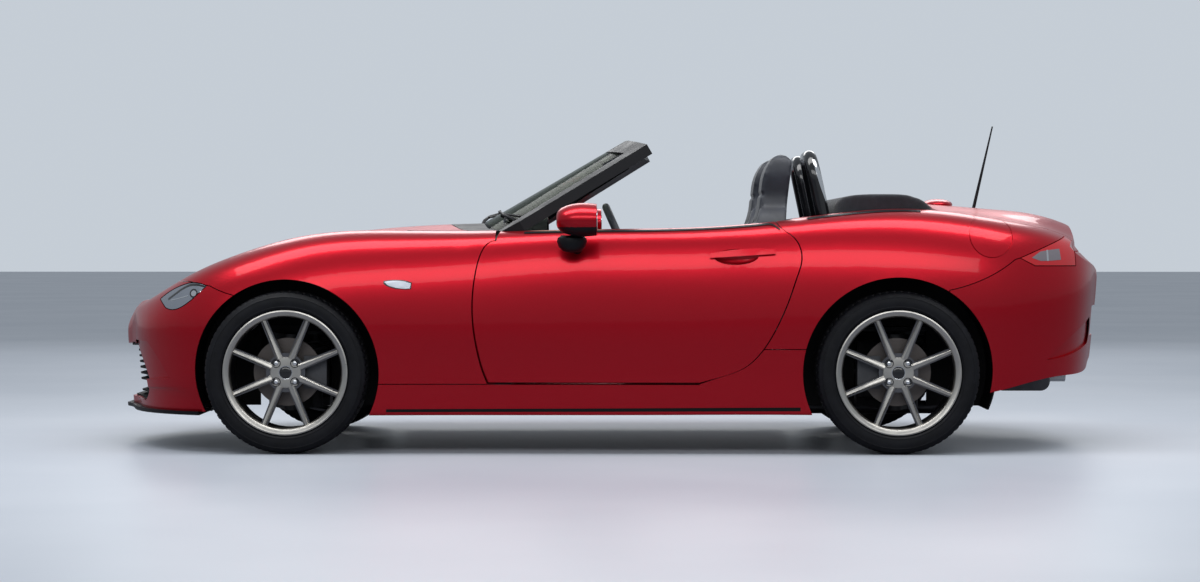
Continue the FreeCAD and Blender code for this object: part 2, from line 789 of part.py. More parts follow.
def inlet(grow=0.0):
    """Room of the wide air inlet, through the nose."""
    left = [V(NOSE - OVER, -out * HALF_WIDTH, up * RISE) for out, up in inlet_shares[0]]
    foot = V(NOSE - OVER, left[0].y, left[0].z)
    right = [V(p.x, -p.y, p.z) for p in reversed(left)]
    curve = left + right[1:]
    face = grown_face(closed_face([curve, [curve[-1], foot]]), grow)
    return face.extrude(V(inlet_depth_share * LENGTH, 0, 0))


inlet_depth_share = 0.085


def rear_bumper():
    """Rear bumper skin from arch to arch, its foot rising to the rear."""
    panel = THIN.common(side_zone(bumper_rear_shares, -SIDE, SIDE))
    foot = side_zone(bumper_foot_shares, -SIDE, SIDE)
    rooms = [REAR_ARCH, mirrored(REAR_ARCH), TAIL_LAMP_ROOM, mirrored(TAIL_LAMP_ROOM)]
    recess = bumper_recess(rear_recess_shares, V(-1, 1, 0))
    panel = panel.cut([BOOT_ROOM, foot, recess, mirrored(recess), plate_tray(SEAT)] + rooms)
    return biggest(panel.fuse(plate_tray().common(OUTER)))


bumper_foot_shares = (
    ((0.80, 0.0), (0.80, 0.235)),
    ((0.80, 0.235), (0.866, 0.240), (0.937, 0.300), (0.982, 0.330), (1.0, 0.400), (1.05, 0.600)),
    ((1.05, 0.600), (1.05, 0.0)),
)


def lamp_body(zone, toward_middle, air):
    """Left lamp, its lens in the skin and its housing behind."""
    inner = OUTER.copy()
    inner.translate(V(toward_middle, 1, 0) * size("lamp_depth"))
    return biggest(OUTER.common(zone).cut([inner] + air))


def skin_layer(zone, inward, outer=ORIGIN):
    """Part of a zone between the skin moved by one vector and the skin moved by another."""
    return zone.common(shifted(OUTER, outer)).cut(shifted(OUTER, inward))


def bumper_recess(outline_shares, inward):
    """Shallow side recess of a bumper's left corner."""
    return skin_layer(side_zone(outline_shares, -SIDE, -HALF_WIDTH / 4), inward * size("recess_depth"))


front_recess_shares = (
    ((0.0198, 0.435), (0.0410, 0.434)),
    ((0.0410, 0.434), (0.0588, 0.350), (0.0680, 0.292)),
    ((0.0680, 0.292), (0.0224, 0.274)),
    ((0.0224, 0.274), (0.0198, 0.435)),
)
rear_recess_shares = (
    ((0.9240, 0.365), (0.9500, 0.455), (0.9780, 0.530)),
    ((0.9780, 0.530), (0.9790, 0.480), (0.9750, 0.425)),
    ((0.9750, 0.425), (0.9500, 0.385), (0.9240, 0.365)),
)


def door_handle():
    """Left door's outside pull, a bowed bar on two feet."""
    face = V(0, -size("handle_stand_off"), 0)
    bar_zone = side_zone(handle_bar_shares, -SIDE, -HALF_WIDTH / 2)
    bar = skin_layer(bar_zone, face + Y_AXIS * size("handle_thick"), face)
    feet = [skin_layer(side_zone(shares, -SIDE, -HALF_WIDTH / 2), ORIGIN, face)
            for shares in handle_feet_shares]
    return bar.fuse(feet)


handle_bar_shares = (
    ((0.5955, 0.772), (0.6250, 0.779), (0.6584, 0.788)),
    ((0.6584, 0.788), (0.6584, 0.808)),
    ((0.6584, 0.808), (0.6250, 0.806), (0.5955, 0.789)),
    ((0.5955, 0.789), (0.5955, 0.772)),
)
handle_feet_shares = (
    (((0.5965, 0.774), (0.6020, 0.775)), ((0.6020, 0.775), (0.6020, 0.789)),
     ((0.6020, 0.789), (0.5965, 0.787)), ((0.5965, 0.787), (0.5965, 0.774))),
    (((0.6480, 0.787), (0.6574, 0.789)), ((0.6574, 0.789), (0.6574, 0.806)),
     ((0.6574, 0.806), (0.6480, 0.805)), ((0.6480, 0.805), (0.6480, 0.787))),
)


def handle_pocket():
    """Hollow behind the left door's pull for the fingers."""
    middle_x = NOSE + size("pocket_from_nose")
    up = size("pocket_up")
    ray = Part.makeLine(V(middle_x, -SIDE, up), V(middle_x, 0, up)).common(OUTER)
    matrix = FreeCAD.Matrix()
    matrix.scale(size("pocket_half_length"), size("pocket_depth"), size("pocket_half_height"))
    matrix.move(V(middle_x, ray.BoundBox.YMin, up))
    return Part.makeSphere(1).transformGeometry(matrix)


def flap_groove():
    """Thin groove round the filler flap in the left quarter."""
    centre = V(NOSE + size("flap_from_nose"), -SIDE, size("flap_up"))
    disc = Part.makeCylinder(size("flap_radius"), HALF_WIDTH / 2, centre, Y_AXIS)
    core = Part.makeCylinder(size("flap_radius") - size("flap_groove"), HALF_WIDTH / 2, centre,
                             Y_AXIS)
    return skin_layer(disc.cut(core), Y_AXIS * size("flap_groove") * 2)


def plate_tray(grow=0.0):
    """Flat seat for a number plate, sunk in the rear bumper; grown, its hollow."""
    back = TAIL - size("plate_set_in")
    half = size("plate_half_width")
    low = size("plate_low")
    high = low + size("plate_height")
    wall = size("plate_wall")
    hollow = box_between(back + wall, TAIL + OVER, -half, half, low, high)
    if grow:
        return hollow
    tray = box_between(back, TAIL, -half - wall, half + wall, low - wall, high + wall)
    holes = [Part.makeCylinder(size("plate_hole_radius"), 2 * wall + OVER,
                               V(back - OVER, side * size("plate_hole_spread") / 2,
                                 (low + high) / 2), X_AXIS) for side in (-1, 1)]
    return tray.cut([hollow] + holes)


def high_lamp_fin():
    """Low fin on the boot lid's front edge that holds the high lamp."""
    matrix = FreeCAD.Matrix()
    matrix.scale(size("fin_half_length"), size("fin_half_width"), size("fin_height"))
    matrix.move(V(NOSE + size("fin_from_nose"), 0, size("fin_up")))
    return Part.makeSphere(1).transformGeometry(matrix).cut(OUTER)


def body_panels():
    """Painted panels, lamps and sills."""
    headlamp = lamp_body(HEADLAMP, 1, [HOOD_ROOM])
    fender = biggest(fender_panel().cut(headlamp))
    quarter = quarter_panel()
    door = biggest(door_panel().cut(handle_pocket()).fuse(door_handle()))
    sill = sill_beam()
    tail_lamp = lamp_body(TAIL_LAMP, -1, [BOOT_ROOM])
    add_part("fender_l", fender)
    add_part("fender_r", mirrored(fender))
    add_part("quarter_l", biggest(quarter.cut(flap_groove())))
    add_part("quarter_r", mirrored(quarter))
    add_part("door_l", door)
    add_part("door_r", mirrored(door))
    add_part("sills", both_sides(sill))
    add_part("headlamps", both_sides(headlamp))
    add_part("tail_lamps", both_sides(tail_lamp))
    add_part("hood", biggest(THIN.common(HOOD)))
    add_part("boot_lid", biggest(THIN.common(BOOT).fuse(high_lamp_fin())))
    add_part("front_bumper", front_bumper())
    add_part("rear_bumper", rear_bumper())
    add_part("grille", grille())
    add_part("undertray", undertray())


body_panels()


def cowl():
    """Black panel between hood and windscreen, its rear edge under the glass."""
    strip = box_between(NOSE + cowl_start_share * LENGTH, NOSE + cowl_end_share * LENGTH,
                        -cowl_half_share * HALF_WIDTH + SEAM, cowl_half_share * HALF_WIDTH - SEAM,
                        0, HIGH)
    return biggest(THIN.common(strip).cut([HOOD_ROOM, DOOR_ROOM, mirrored(DOOR_ROOM)]))


cowl_end_share = 0.398


# Windscreen: one curved surface carries the frame and the glass


def screen_surface(out_grow=0.0, up_grow=0.0):
    """Bowed and raked surface of the windscreen, grown past its edges."""
    foot_x = NOSE + size("screen_foot_from_nose")
    head_x = NOSE + size("header_from_nose")
    foot_z = size("screen_foot_up")
    rise = size("header_up") - foot_z
    rows = []
    for up in screen_row_shares:
        z = foot_z + up * (rise + up_grow)
        middle_x = foot_x + up * (head_x - foot_x) * (rise + up_grow) / rise
        half = size("screen_foot_half") + up * (size("screen_head_half") - size("screen_foot_half"))
        half += out_grow
        bow = size("screen_foot_bow") + up * (size("screen_head_bow") - size("screen_foot_bow"))
        drop = up * size("screen_head_drop")
        row = []
        for out in screen_column_shares:
            row.append(V(middle_x + bow * out * out, half * out, z - drop * out * out))
        rows.append(row)
    surface = Part.BSplineSurface()
    surface.interpolate(rows)
    return surface


screen_row_shares = (-0.14, 0.0, 0.35, 0.7, 1.0)
screen_column_shares = (-1.0, -0.85, -0.5, 0.0, 0.5, 0.85, 1.0)


def windscreen():
    """Frame of pillars and header, and its pane."""
    whole = screen_surface()
    inward = V(math.sin(screen_slope()), 0, -math.cos(screen_slope()))
    slab = whole.toShape().extrude(inward * size("screen_frame_depth"))
    window = screen_surface(-size("pillar_width"), -size("header_height")).toShape()
    window.translate(inward * -size("screen_frame_depth"))
    hole = window.extrude(inward * 3 * size("screen_frame_depth"))
    skin = OUTER.copy()
    skin.translate(Z_AXIS * SEAT)
    side = box_between(NOSE, TAIL, -SIDE, -CABIN_HALF + GAP, 0, 2 * HIGH)
    frame = biggest(forward(slab).cut([forward(hole), skin, side, mirrored(side)]))
    pane_face = screen_surface(-size("pillar_width") - SEAT, -size("header_height") - SEAT)
    pane = pane_face.toShape().extrude(inward * size("screen_glass"))
    return frame, biggest(forward(pane).cut(skin))


def forward(solid):
    """The solid with its faces turned outward."""
    if solid.Volume < 0:
        solid.reverse()
    return solid


def screen_slope():
    """Rake of the windscreen from upright, in radians."""
    run = size("header_from_nose") - size("screen_foot_from_nose")
    return math.atan2(size("header_up") - size("screen_foot_up"), run)


frame, pane = windscreen()
add_part("windscreen_frame", frame)
add_part("windscreen_glass", pane)
add_part("cowl", cowl())


# Structure under the skin, seated a hair inside the panels that it carries
FIREWALL_X = NOSE + size("firewall_from_nose")
BULKHEAD_X = NOSE + size("bulkhead_from_nose")
PLATE = size("firewall_plate")
PILLAR_IN = CABIN_HALF - size("pillar_inset")
FLOOR_TOP = FLOOR + size("floor_plate")


def between_sills(shape, thickness):
    """Part of a shape that lies inboard of both side walls."""
    left = shifted(MIDDLE, Y_AXIS * (thickness + SEAT))
    return shape.common(left).common(mirrored(left))


def tunnel_shell(x0, x1, grow=0.0):
    """Upside-down trough over the gearbox and the shafts."""
    half = size("tunnel_width") / 2 - grow
    top = FLOOR + size("tunnel_rise") - grow
    return box_between(x0, x1, -half, half, FLOOR - OVER * bool(grow), top)


def floor_pan():
    """Cabin floor with its tunnel, from sill to sill."""
    pan = box_between(FIREWALL_X, BULKHEAD_X, -HALF_WIDTH, HALF_WIDTH, FLOOR, FLOOR_TOP)
    pan = between_sills(pan, size("sill_width"))
    pan = pan.fuse(tunnel_shell(FIREWALL_X, BULKHEAD_X))
    hollow = tunnel_shell(FIREWALL_X - OVER, BULKHEAD_X + OVER, size("tunnel_wall"))
    return biggest(pan.cut(hollow).removeSplitter())


def firewall():
    """Plate ahead of the cabin with the two hinge pillars."""
    plate = box_between(FIREWALL_X - PLATE, FIREWALL_X, -HALF_WIDTH, HALF_WIDTH, FLOOR_TOP, HIGH)
    plate = between_sills(plate, size("sill_width"))
    pillar = box_between(FIREWALL_X - size("pillar_reach"), DOOR_AXIS_X + size("pillar_back"),
                         -HALF_WIDTH, -PILLAR_IN, SILL_TOP + SEAT, size("pillar_top"))
    pillar = pillar.common(SEATED)
    wall = plate.common(SEATED).fuse([pillar, mirrored(pillar)])
    opening = tunnel_shell(FIREWALL_X - LENGTH / 2, FIREWALL_X, SEAT)
    return biggest(wall.cut([DOOR_ROOM, mirrored(DOOR_ROOM), HOOD_ROOM.common(ABOVE_CLEAR),
                             opening]))


def rear_bulkhead():
    """Wall behind the seats with the side posts and the deck under the folded roof."""
    deck_up = size("deck_up")
    wall = box_between(BULKHEAD_X, BULKHEAD_X + PLATE, -HALF_WIDTH, HALF_WIDTH,
                       FLOOR_TOP, deck_up)
    wall = between_sills(wall, size("sill_width"))
    deck_end = NOSE + boot_plan_shares[0][0][0] * LENGTH - OVER
    deck = box_between(BULKHEAD_X, deck_end, -HALF_WIDTH, HALF_WIDTH, deck_up - PLATE, deck_up)
    post = box_between(BULKHEAD_X, BULKHEAD_X + size("post_depth"), -HALF_WIDTH, -PILLAR_IN,
                       quarter_foot_share * RISE, deck_up)
    whole = wall.fuse([deck, post, mirrored(post)]).common(SEATED)
    opening = tunnel_shell(BULKHEAD_X, TAIL, SEAT)
    rooms = [DOOR_ROOM, REAR_HOUSE, BOOT_ROOM]
    return biggest(whole.cut(rooms + [mirrored(DOOR_ROOM), mirrored(REAR_HOUSE), opening]))


def boot_tub():
    """Boot floor and walls, open under the lid, with the panel behind the bumper."""
    plate = size("floor_plate")
    half = size("boot_half_width")
    front = NOSE + boot_plan_shares[0][0][0] * LENGTH - OVER + SEAT
    rear = TAIL - size("boot_rear_set_in")
    foot = size("boot_floor_up")
    outer = box_between(front, rear, -half, half, foot, HIGH)
    inner = box_between(front + plate, rear - plate, -half + plate, half - plate,
                        foot + plate, HIGH)
    panel = box_between(rear - plate, rear, -HALF_WIDTH, HALF_WIDTH,
                        foot - size("rear_panel_drop"), foot + size("rear_panel_rise"))
    shelf = box_between(BULKHEAD_X + PLATE + SEAT, front + plate, -half, half, size("frame_rail_up"),
                        size("frame_rail_up") + plate)
    shelf = shelf.cut(tunnel_shell(BULKHEAD_X, TAIL, SEAT))
    bracket = tail_bracket()
    tub = outer.fuse([panel, shelf, bracket, mirrored(bracket)]).cut(inner)
    lid_room = BOOT_ROOM.common(ABOVE_CLEAR)
    tub = tub.common(SEATED).cut([REAR_HOUSE, mirrored(REAR_HOUSE), lid_room])
    stop = rest((front + rear) / 2, -half + plate / 2, foot + plate)
    return biggest(tub.fuse([stop, mirrored(stop)]))


def tail_bracket():
    """Left bracket from the boot's wall to the back of a tail lamp's housing."""
    inner = OUTER.copy()
    inner.translate(V(-1, 1, 0) * (size("lamp_depth") + SEAT))
    rear = TAIL - size("tail_bracket_set_in")
    block = box_between(rear - size("tail_bracket_reach"), rear, -HALF_WIDTH,
                        -size("boot_half_width") + size("floor_plate"), size("tail_bracket_up"),
                        size("tail_bracket_up") + size("tail_bracket_height"))
    return block.common(inner).common(CLEAR)


def lamp_bracket():
    """Left bracket that holds a headlamp, seated on its housing's back."""
    inner = OUTER.copy()
    inner.translate(V(1, 1, 0) * (size("lamp_depth") + SEAT))
    back = NOSE + size("lamp_bracket_back")
    block = box_between(back - size("lamp_bracket_depth"), back, -HALF_WIDTH,
                        -size("frame_rail_spread") / 2, size("frame_rail_up"), HIGH)
    return block.common(inner).common(CLEAR)


def front_frame():
    """Two rails and the crossbeam that carry engine bay, bumper and lamps."""
    rail_half = size("frame_rail_width") / 2
    rail_y = -size("frame_rail_spread") / 2
    foot = size("frame_rail_up")
    top = foot + size("frame_rail_height")
    beam_x = NOSE + size("crossbeam_from_nose")
    rail = box_between(beam_x, FIREWALL_X - PLATE - SEAT, rail_y - rail_half, rail_y + rail_half,
                       foot, top)
    beam = box_between(beam_x, beam_x + size("crossbeam_depth"), -HALF_WIDTH, HALF_WIDTH,
                       foot, top)
    apron = box_between(FRONT_AXLE - size("apron_reach"), FRONT_AXLE + size("apron_reach"),
                        -HALF_WIDTH, rail_y, top, size("apron_up"))
    tower = apron.cut(FRONT_HOUSE)
    bracket = lamp_bracket()
    frame = rail.fuse([mirrored(rail), beam, bracket, mirrored(bracket), tower, mirrored(tower)])
    frame = frame.common(SEATED)
    frame = frame.cut([FRONT_HOUSE, mirrored(FRONT_HOUSE), HOOD_ROOM.common(ABOVE_CLEAR)])
    stop = rest(FRONT_AXLE, rail_y, top)
    boss = Part.makeCylinder(size("tow_boss_radius"), size("tow_thread_length"),
                             V(beam_x, size("tow_out"), TOW_UP), X_AXIS)
    thread = Part.makeCylinder(size("tow_thread_radius"), size("tow_thread_length"),
                               V(beam_x, size("tow_out"), TOW_UP), X_AXIS)
    return biggest(frame.fuse([stop, mirrored(stop), boss]).cut(thread))


def rest(x, y, low):
    """Rubber stop that reaches from a height up to the inner face of a closed panel."""
    post = Part.makeCylinder(size("stop_radius"), HIGH - low, V(x, y, low), Z_AXIS)
    return post.common(SEATED)


def arch_liner(axle_x, radius, depth):
    """Left wheelhouse: a curved sheet over the tyre and an inner wall open for the axle."""
    start = V(axle_x, -HALF_WIDTH, HUB_UP)
    wall = size("liner_wall")
    cup = Part.makeCylinder(radius + HOUSE + wall, depth, start, Y_AXIS)
    room = Part.makeCylinder(radius + HOUSE, depth - wall, start, Y_AXIS)
    half = size("crossmember_width") / 2 + size("axle_window_room")
    window = box_between(axle_x - half, axle_x + half, -SIDE, 0, 0,
                         size("frame_rail_up") + size("axle_window_room"))
    upper = box_between(axle_x - 2 * radius, axle_x + 2 * radius, -SIDE, 0,
                        FLOOR + size("liner_foot"), HIGH)
    return biggest(cup.cut([room, window]).common(upper).common(SEATED))


# Folded roof, roll hoops, seats and the rest of the cabin


def profile_block(points, half):
    """Solid with a side profile through points given from a corner, both ends flat across."""
    face = closed_face(points)
    return face.extrude(V(0, 2 * half, 0))


def soft_top():
    """Folded roof: one flat-topped bundle with rounded ends, under its cover."""
    half = soft_top_half_share * HALF_WIDTH - GAP
    front = BULKHEAD_X + size("soft_top_set_back")
    rear = NOSE + boot_plan_shares[0][0][0] * LENGTH - OVER
    base = size("deck_up") + SEAT
    tall = size("soft_top_up") - base
    runs = [[V(front + a * (rear - front), -half, base + u * tall) for a, u in run]
            for run in soft_top_shares]
    block = profile_block(runs, half)
    plan = [[V(front + a * (rear - front), side * o * half, base) for a, o in run]
            for side, run in ((1, soft_top_plan_shares), (-1, soft_top_plan_shares[::-1]))]
    plan.insert(1, [plan[0][-1], plan[1][0]])
    plan.append([plan[-1][-1], plan[0][0]])
    column = closed_face(plan).extrude(Z_AXIS * 2 * tall)
    return block.common(column)


soft_top_shares = (
    ((0.0, 0.0), (-0.005, 0.55), (0.05, 0.86), (0.18, 0.97), (0.5, 1.0), (0.85, 0.90),
     (0.985, 0.68), (1.0, 0.0)),
    ((1.0, 0.0), (0.0, 0.0)),
)
soft_top_plan_shares = ((0.0, 0.80), (0.05, 0.90), (0.3, 0.985), (0.7, 1.0), (1.0, 0.93))


def hoop(y):
    """One roll hoop behind a seat, its feet on the deck."""
    tube = size("hoop_tube_radius")
    half = size("hoop_width") / 2
    foot_x = BULKHEAD_X + size("hoop_foot_back")
    top_x = foot_x - size("hoop_lean")
    upright = size("hoop_up") - size("deck_up") - 2 * tube
    foot = size("deck_up") + tube * size("hoop_lean") / upright + SEAT
    top = size("hoop_up") - tube
    bend = size("hoop_bend")
    lean = V(top_x - foot_x, 0, top - foot)
    side = lean.normalize() * bend
    left_foot = V(foot_x, y - half, foot)
    right_foot = V(foot_x, y + half, foot)
    left_top = V(top_x, y - half, top)
    right_top = V(top_x, y + half, top)
    across = V(0, bend, 0)
    bow = (1 - math.sqrt(2) / 2)
    left_mid = left_top + across * bow - side * bow
    right_mid = right_top - across * bow - side * bow
    path = Part.Wire([
        Part.makeLine(left_foot, left_top - side),
        Part.Arc(left_top - side, left_mid, left_top + across).toShape(),
        Part.makeLine(left_top + across, right_top - across),
        Part.Arc(right_top - across, right_mid, right_top - side).toShape(),
        Part.makeLine(right_top - side, right_foot),
    ])
    section = Part.Wire([Part.makeCircle(tube, left_foot, lean)])
    pipe = path.makePipeShell([section], True, True)
    return pipe


def seat(y):
    """Bucket seat with its bolstered back and fixed head restraint, as one closed form."""
    half = size("seat_width") / 2
    hip = V(NOSE + size("seat_hip_from_nose"), y - half, size("seat_hip_up"))
    long = size("seat_cushion_length")
    rise = size("seat_back_height")
    lean = size("seat_back_lean")
    side = [[hip + V(a * long + u * lean, 0, u * rise) for a, u in run] for run in seat_side_shares]
    block = profile_block(side, half)
    front = [[V(hip.x - long, y + o * half, hip.z + u * rise) for o, u in run]
             for run in seat_front_shares]
    column = closed_face(front).extrude(X_AXIS * (long + 2 * lean))
    return biggest(block.common(column))


seat_side_shares = (
    ((0.0, 0.0), (-0.98, 0.0)),
    ((-0.98, 0.0), (-1.02, 0.10), (-0.99, 0.19), (-0.90, 0.215)),
    ((-0.90, 0.215), (-0.55, 0.165), (-0.27, 0.175)),
    ((-0.27, 0.175), (-0.225, 0.35), (-0.25, 0.55), (-0.19, 0.78), (-0.20, 0.90), (-0.15, 0.985)),
    ((-0.15, 0.985), (-0.08, 1.0), (0.0, 0.97)),
    ((0.0, 0.97), (0.02, 0.70), (0.03, 0.30), (0.0, 0.0)),
)
seat_front_shares = (
    ((-1.0, 0.0), (-1.0, 0.25), (-0.95, 0.45), (-0.97, 0.60), (-0.86, 0.71), (-0.58, 0.77)),
    ((-0.58, 0.77), (-0.50, 0.82), (-0.53, 0.92), (-0.44, 0.985), (0.0, 1.0), (0.44, 0.985),
     (0.53, 0.92), (0.50, 0.82), (0.58, 0.77)),
    ((0.58, 0.77), (0.86, 0.71), (0.97, 0.60), (0.95, 0.45), (1.0, 0.25), (1.0, 0.0)),
    ((1.0, 0.0), (-1.0, 0.0)),
)


def dashboard():
    """Dashboard from door to door, under the windscreen."""
    front = FIREWALL_X + SEAT
    rear = front + size("dash_depth")
    top = size("dash_top_up")
    low = size("dash_low")
    half = CABIN_HALF - GAP
    points = [V(front, -half, low), V(rear - OVER, -half, low), V(rear, -half, low + 2 * OVER),
              V(rear - OVER, -half, top - 2 * OVER), V(rear - 4 * OVER, -half, top),
              V(front, -half, top)]
    block = Part.Face(Part.makePolygon(points + points[:1])).extrude(V(0, 2 * half, 0))
    pillar = box_between(front, DOOR_AXIS_X + size("pillar_back") + SEAT, -HALF_WIDTH,
                         -PILLAR_IN + SEAT, 0, HIGH)
    return biggest(block.common(CLEAR).cut([DOOR_ROOM, mirrored(DOOR_ROOM), pillar,
                                            mirrored(pillar)]))


def console():
    """Centre console on the tunnel with the gear lever's gaiter plate."""
    half = size("tunnel_width") / 2
    foot = FLOOR + size("tunnel_rise") + SEAT
    front = FIREWALL_X + size("dash_depth") + 2 * SEAT
    rear = BULKHEAD_X - SEAT
    block = box_between(front, rear, -half, half, foot, foot + size("console_height"))
    return block


def seat_rail(y):
    """Pair of floor rails under one seat."""
    half = size("seat_width") / 4
    x = NOSE + size("seat_hip_from_nose")
    rails = []
    for side in (-half, half):
        rails.append(box_between(x - size("seat_cushion_length"), x, y + side - OVER,
                                 y + side + OVER, FLOOR_TOP, size("seat_hip_up") - SEAT))
    return rails


def steering_frame():
    """Place and slant of the steering column, its axis pointing up and back to the driver."""
    rotation = FreeCAD.Rotation(Y_AXIS, 90 - size("steering_rake"))
    middle = V(NOSE + size("steering_from_nose"), -size("seat_spread") / 2, size("steering_up"))
    return FreeCAD.Placement(middle, rotation)


def bound(kind, name, **expressions):
    """Primitive of the document with each size bound to cells of the sheet."""
    feature = doc.addObject("Part::" + kind, name)
    for key, expression in expressions.items():
        feature.setExpression(key, expression)
    return feature


def steering_wheel():
    """Rim, hub and three spokes."""
    rim = bound("Torus", "steering_rim", Radius1="Sizes.steering_radius",
                Radius2="Sizes.steering_rim_radius")
    hub = bound("Cylinder", "steering_hub", Radius="Sizes.steering_hub_radius",
                Height="Sizes.steering_hub_depth")
    hub.Placement.Base = V(0, 0, -size("steering_hub_depth"))
    pieces = [rim, hub]
    for turn in (-90, 0, 180):
        spoke = bound("Box", "steering_spoke", Length="Sizes.steering_radius",
                      Width="Sizes.steering_spoke_width", Height="Sizes.steering_rim_radius")
        rotation = FreeCAD.Rotation(Z_AXIS, turn + 90)
        offset = rotation.multVec(V(0, -size("steering_spoke_width") / 2,
                                    -size("steering_rim_radius")))
        spoke.Placement = FreeCAD.Placement(offset, rotation)
        pieces.append(spoke)
    wheel = doc.addObject("Part::MultiFuse", "steering_wheel")
    wheel.Shapes = pieces
    wheel.Label = "steering_wheel"
    wheel.Placement = steering_frame()
    PARTS.append(wheel)


def steering_column():
    """Column from the wheel down into the dashboard."""
    place = steering_frame()
    start = place.multVec(V(0, 0, -size("steering_hub_depth") - 2 * SEAT))
    down = place.Rotation.multVec(V(0, 0, -1))
    tube = Part.makeCylinder(size("steering_hub_radius") / 2, size("column_length"), start, down)
    return tube


def cabin():
    """Everything inside the cabin that doesn't move, and the folded roof."""
    y = size("seat_spread") / 2
    add_part("floor_pan", floor_pan().fuse(seat_rail(-y) + seat_rail(y)).removeSplitter())
    add_part("firewall", firewall())
    add_part("rear_bulkhead", rear_bulkhead())
    add_part("boot_tub", boot_tub())
    add_part("front_frame", front_frame())
    liners = [arch_liner(FRONT_AXLE, size("arch_front_radius"), FRONT_DEPTH),
              arch_liner(REAR_AXLE, size("arch_rear_radius"), REAR_DEPTH)]
    add_part("arch_liners", Part.makeCompound([both_sides(liner) for liner in liners]))
    add_part("soft_top", soft_top())
    hoops = [hoop(-y), hoop(y)]
    add_part("roll_hoops", Part.makeCompound(hoops))
    add_part("seat_l", seat(-y))
    add_part("seat_r", seat(y))
    column = steering_column()
    dash = dashboard()
    add_part("dashboard", dash.fuse(column.cut(dash)).removeSplitter())
    add_part("console", console())
    steering_wheel()


cabin()


# Wheels, tyres, discs and uprights, drawn about the wheel centre with the outer face toward -Y


def origin_plane(body, role):
    """One of a body's own origin planes."""
    return next(item for item in body.Origin.OriginFeatures if item.Role == role)


def outline_sketch(body, name, role, corners):
    """Closed outline whose corners are held by expressions of the sheet's cells."""
    sketch = body.newObject("Sketcher::SketchObject", name)
    sketch.AttachmentSupport = [(origin_plane(body, role), "")]
    sketch.MapMode = "FlatFace"
    places = [V(sheet.evalExpression(x), sheet.evalExpression(y), 0) for x, y in corners]
    count = len(places)
    for i in range(count):
        sketch.addGeometry(Part.LineSegment(places[i], places[(i + 1) % count]))
    for i in range(count):
        sketch.addConstraint(Sketcher.Constraint("Coincident", i, 2, (i + 1) % count, 1))
    for i, (x, y) in enumerate(corners):
        hold_corner(sketch, i, "DistanceX", x, places[i].x, -2)
        hold_corner(sketch, i, "DistanceY", y, places[i].y, -1)
    return sketch


def hold_corner(sketch, line, kind, expression, value, axis):
    """Hold one coordinate of a line's start, on an axis where it is zero."""
    if expression == "0":
        sketch.addConstraint(Sketcher.Constraint("PointOnObject", line, 1, axis))
        return
    index = sketch.addConstraint(Sketcher.Constraint(kind, -1, 1, line, 1, value))
    sketch.setExpression("Constraints[%d]" % index, expression)


def revolved(body, name, corners):
    """Ring about the wheel's axis from an outline of radius and offset."""
    sketch = outline_sketch(body, name + "_outline", "XY_Plane", corners)
    ring = body.newObject("PartDesign::Revolution", name)
    ring.Profile = sketch
    ring.ReferenceAxis = (sketch, ["V_Axis"])
    ring.Angle = 360
    doc.recompute()
    return ring


def patterned(body, name, feature, sketch, count_cell):
    """Feature repeated round the wheel's axis."""
    pattern = body.newObject("PartDesign::PolarPattern", name)
    pattern.Originals = [feature]
    pattern.Axis = (sketch, ["N_Axis"])
    pattern.Angle = 360
    pattern.setExpression("Occurrences", count_cell)
    body.Tip = pattern
    doc.recompute()
    return pattern


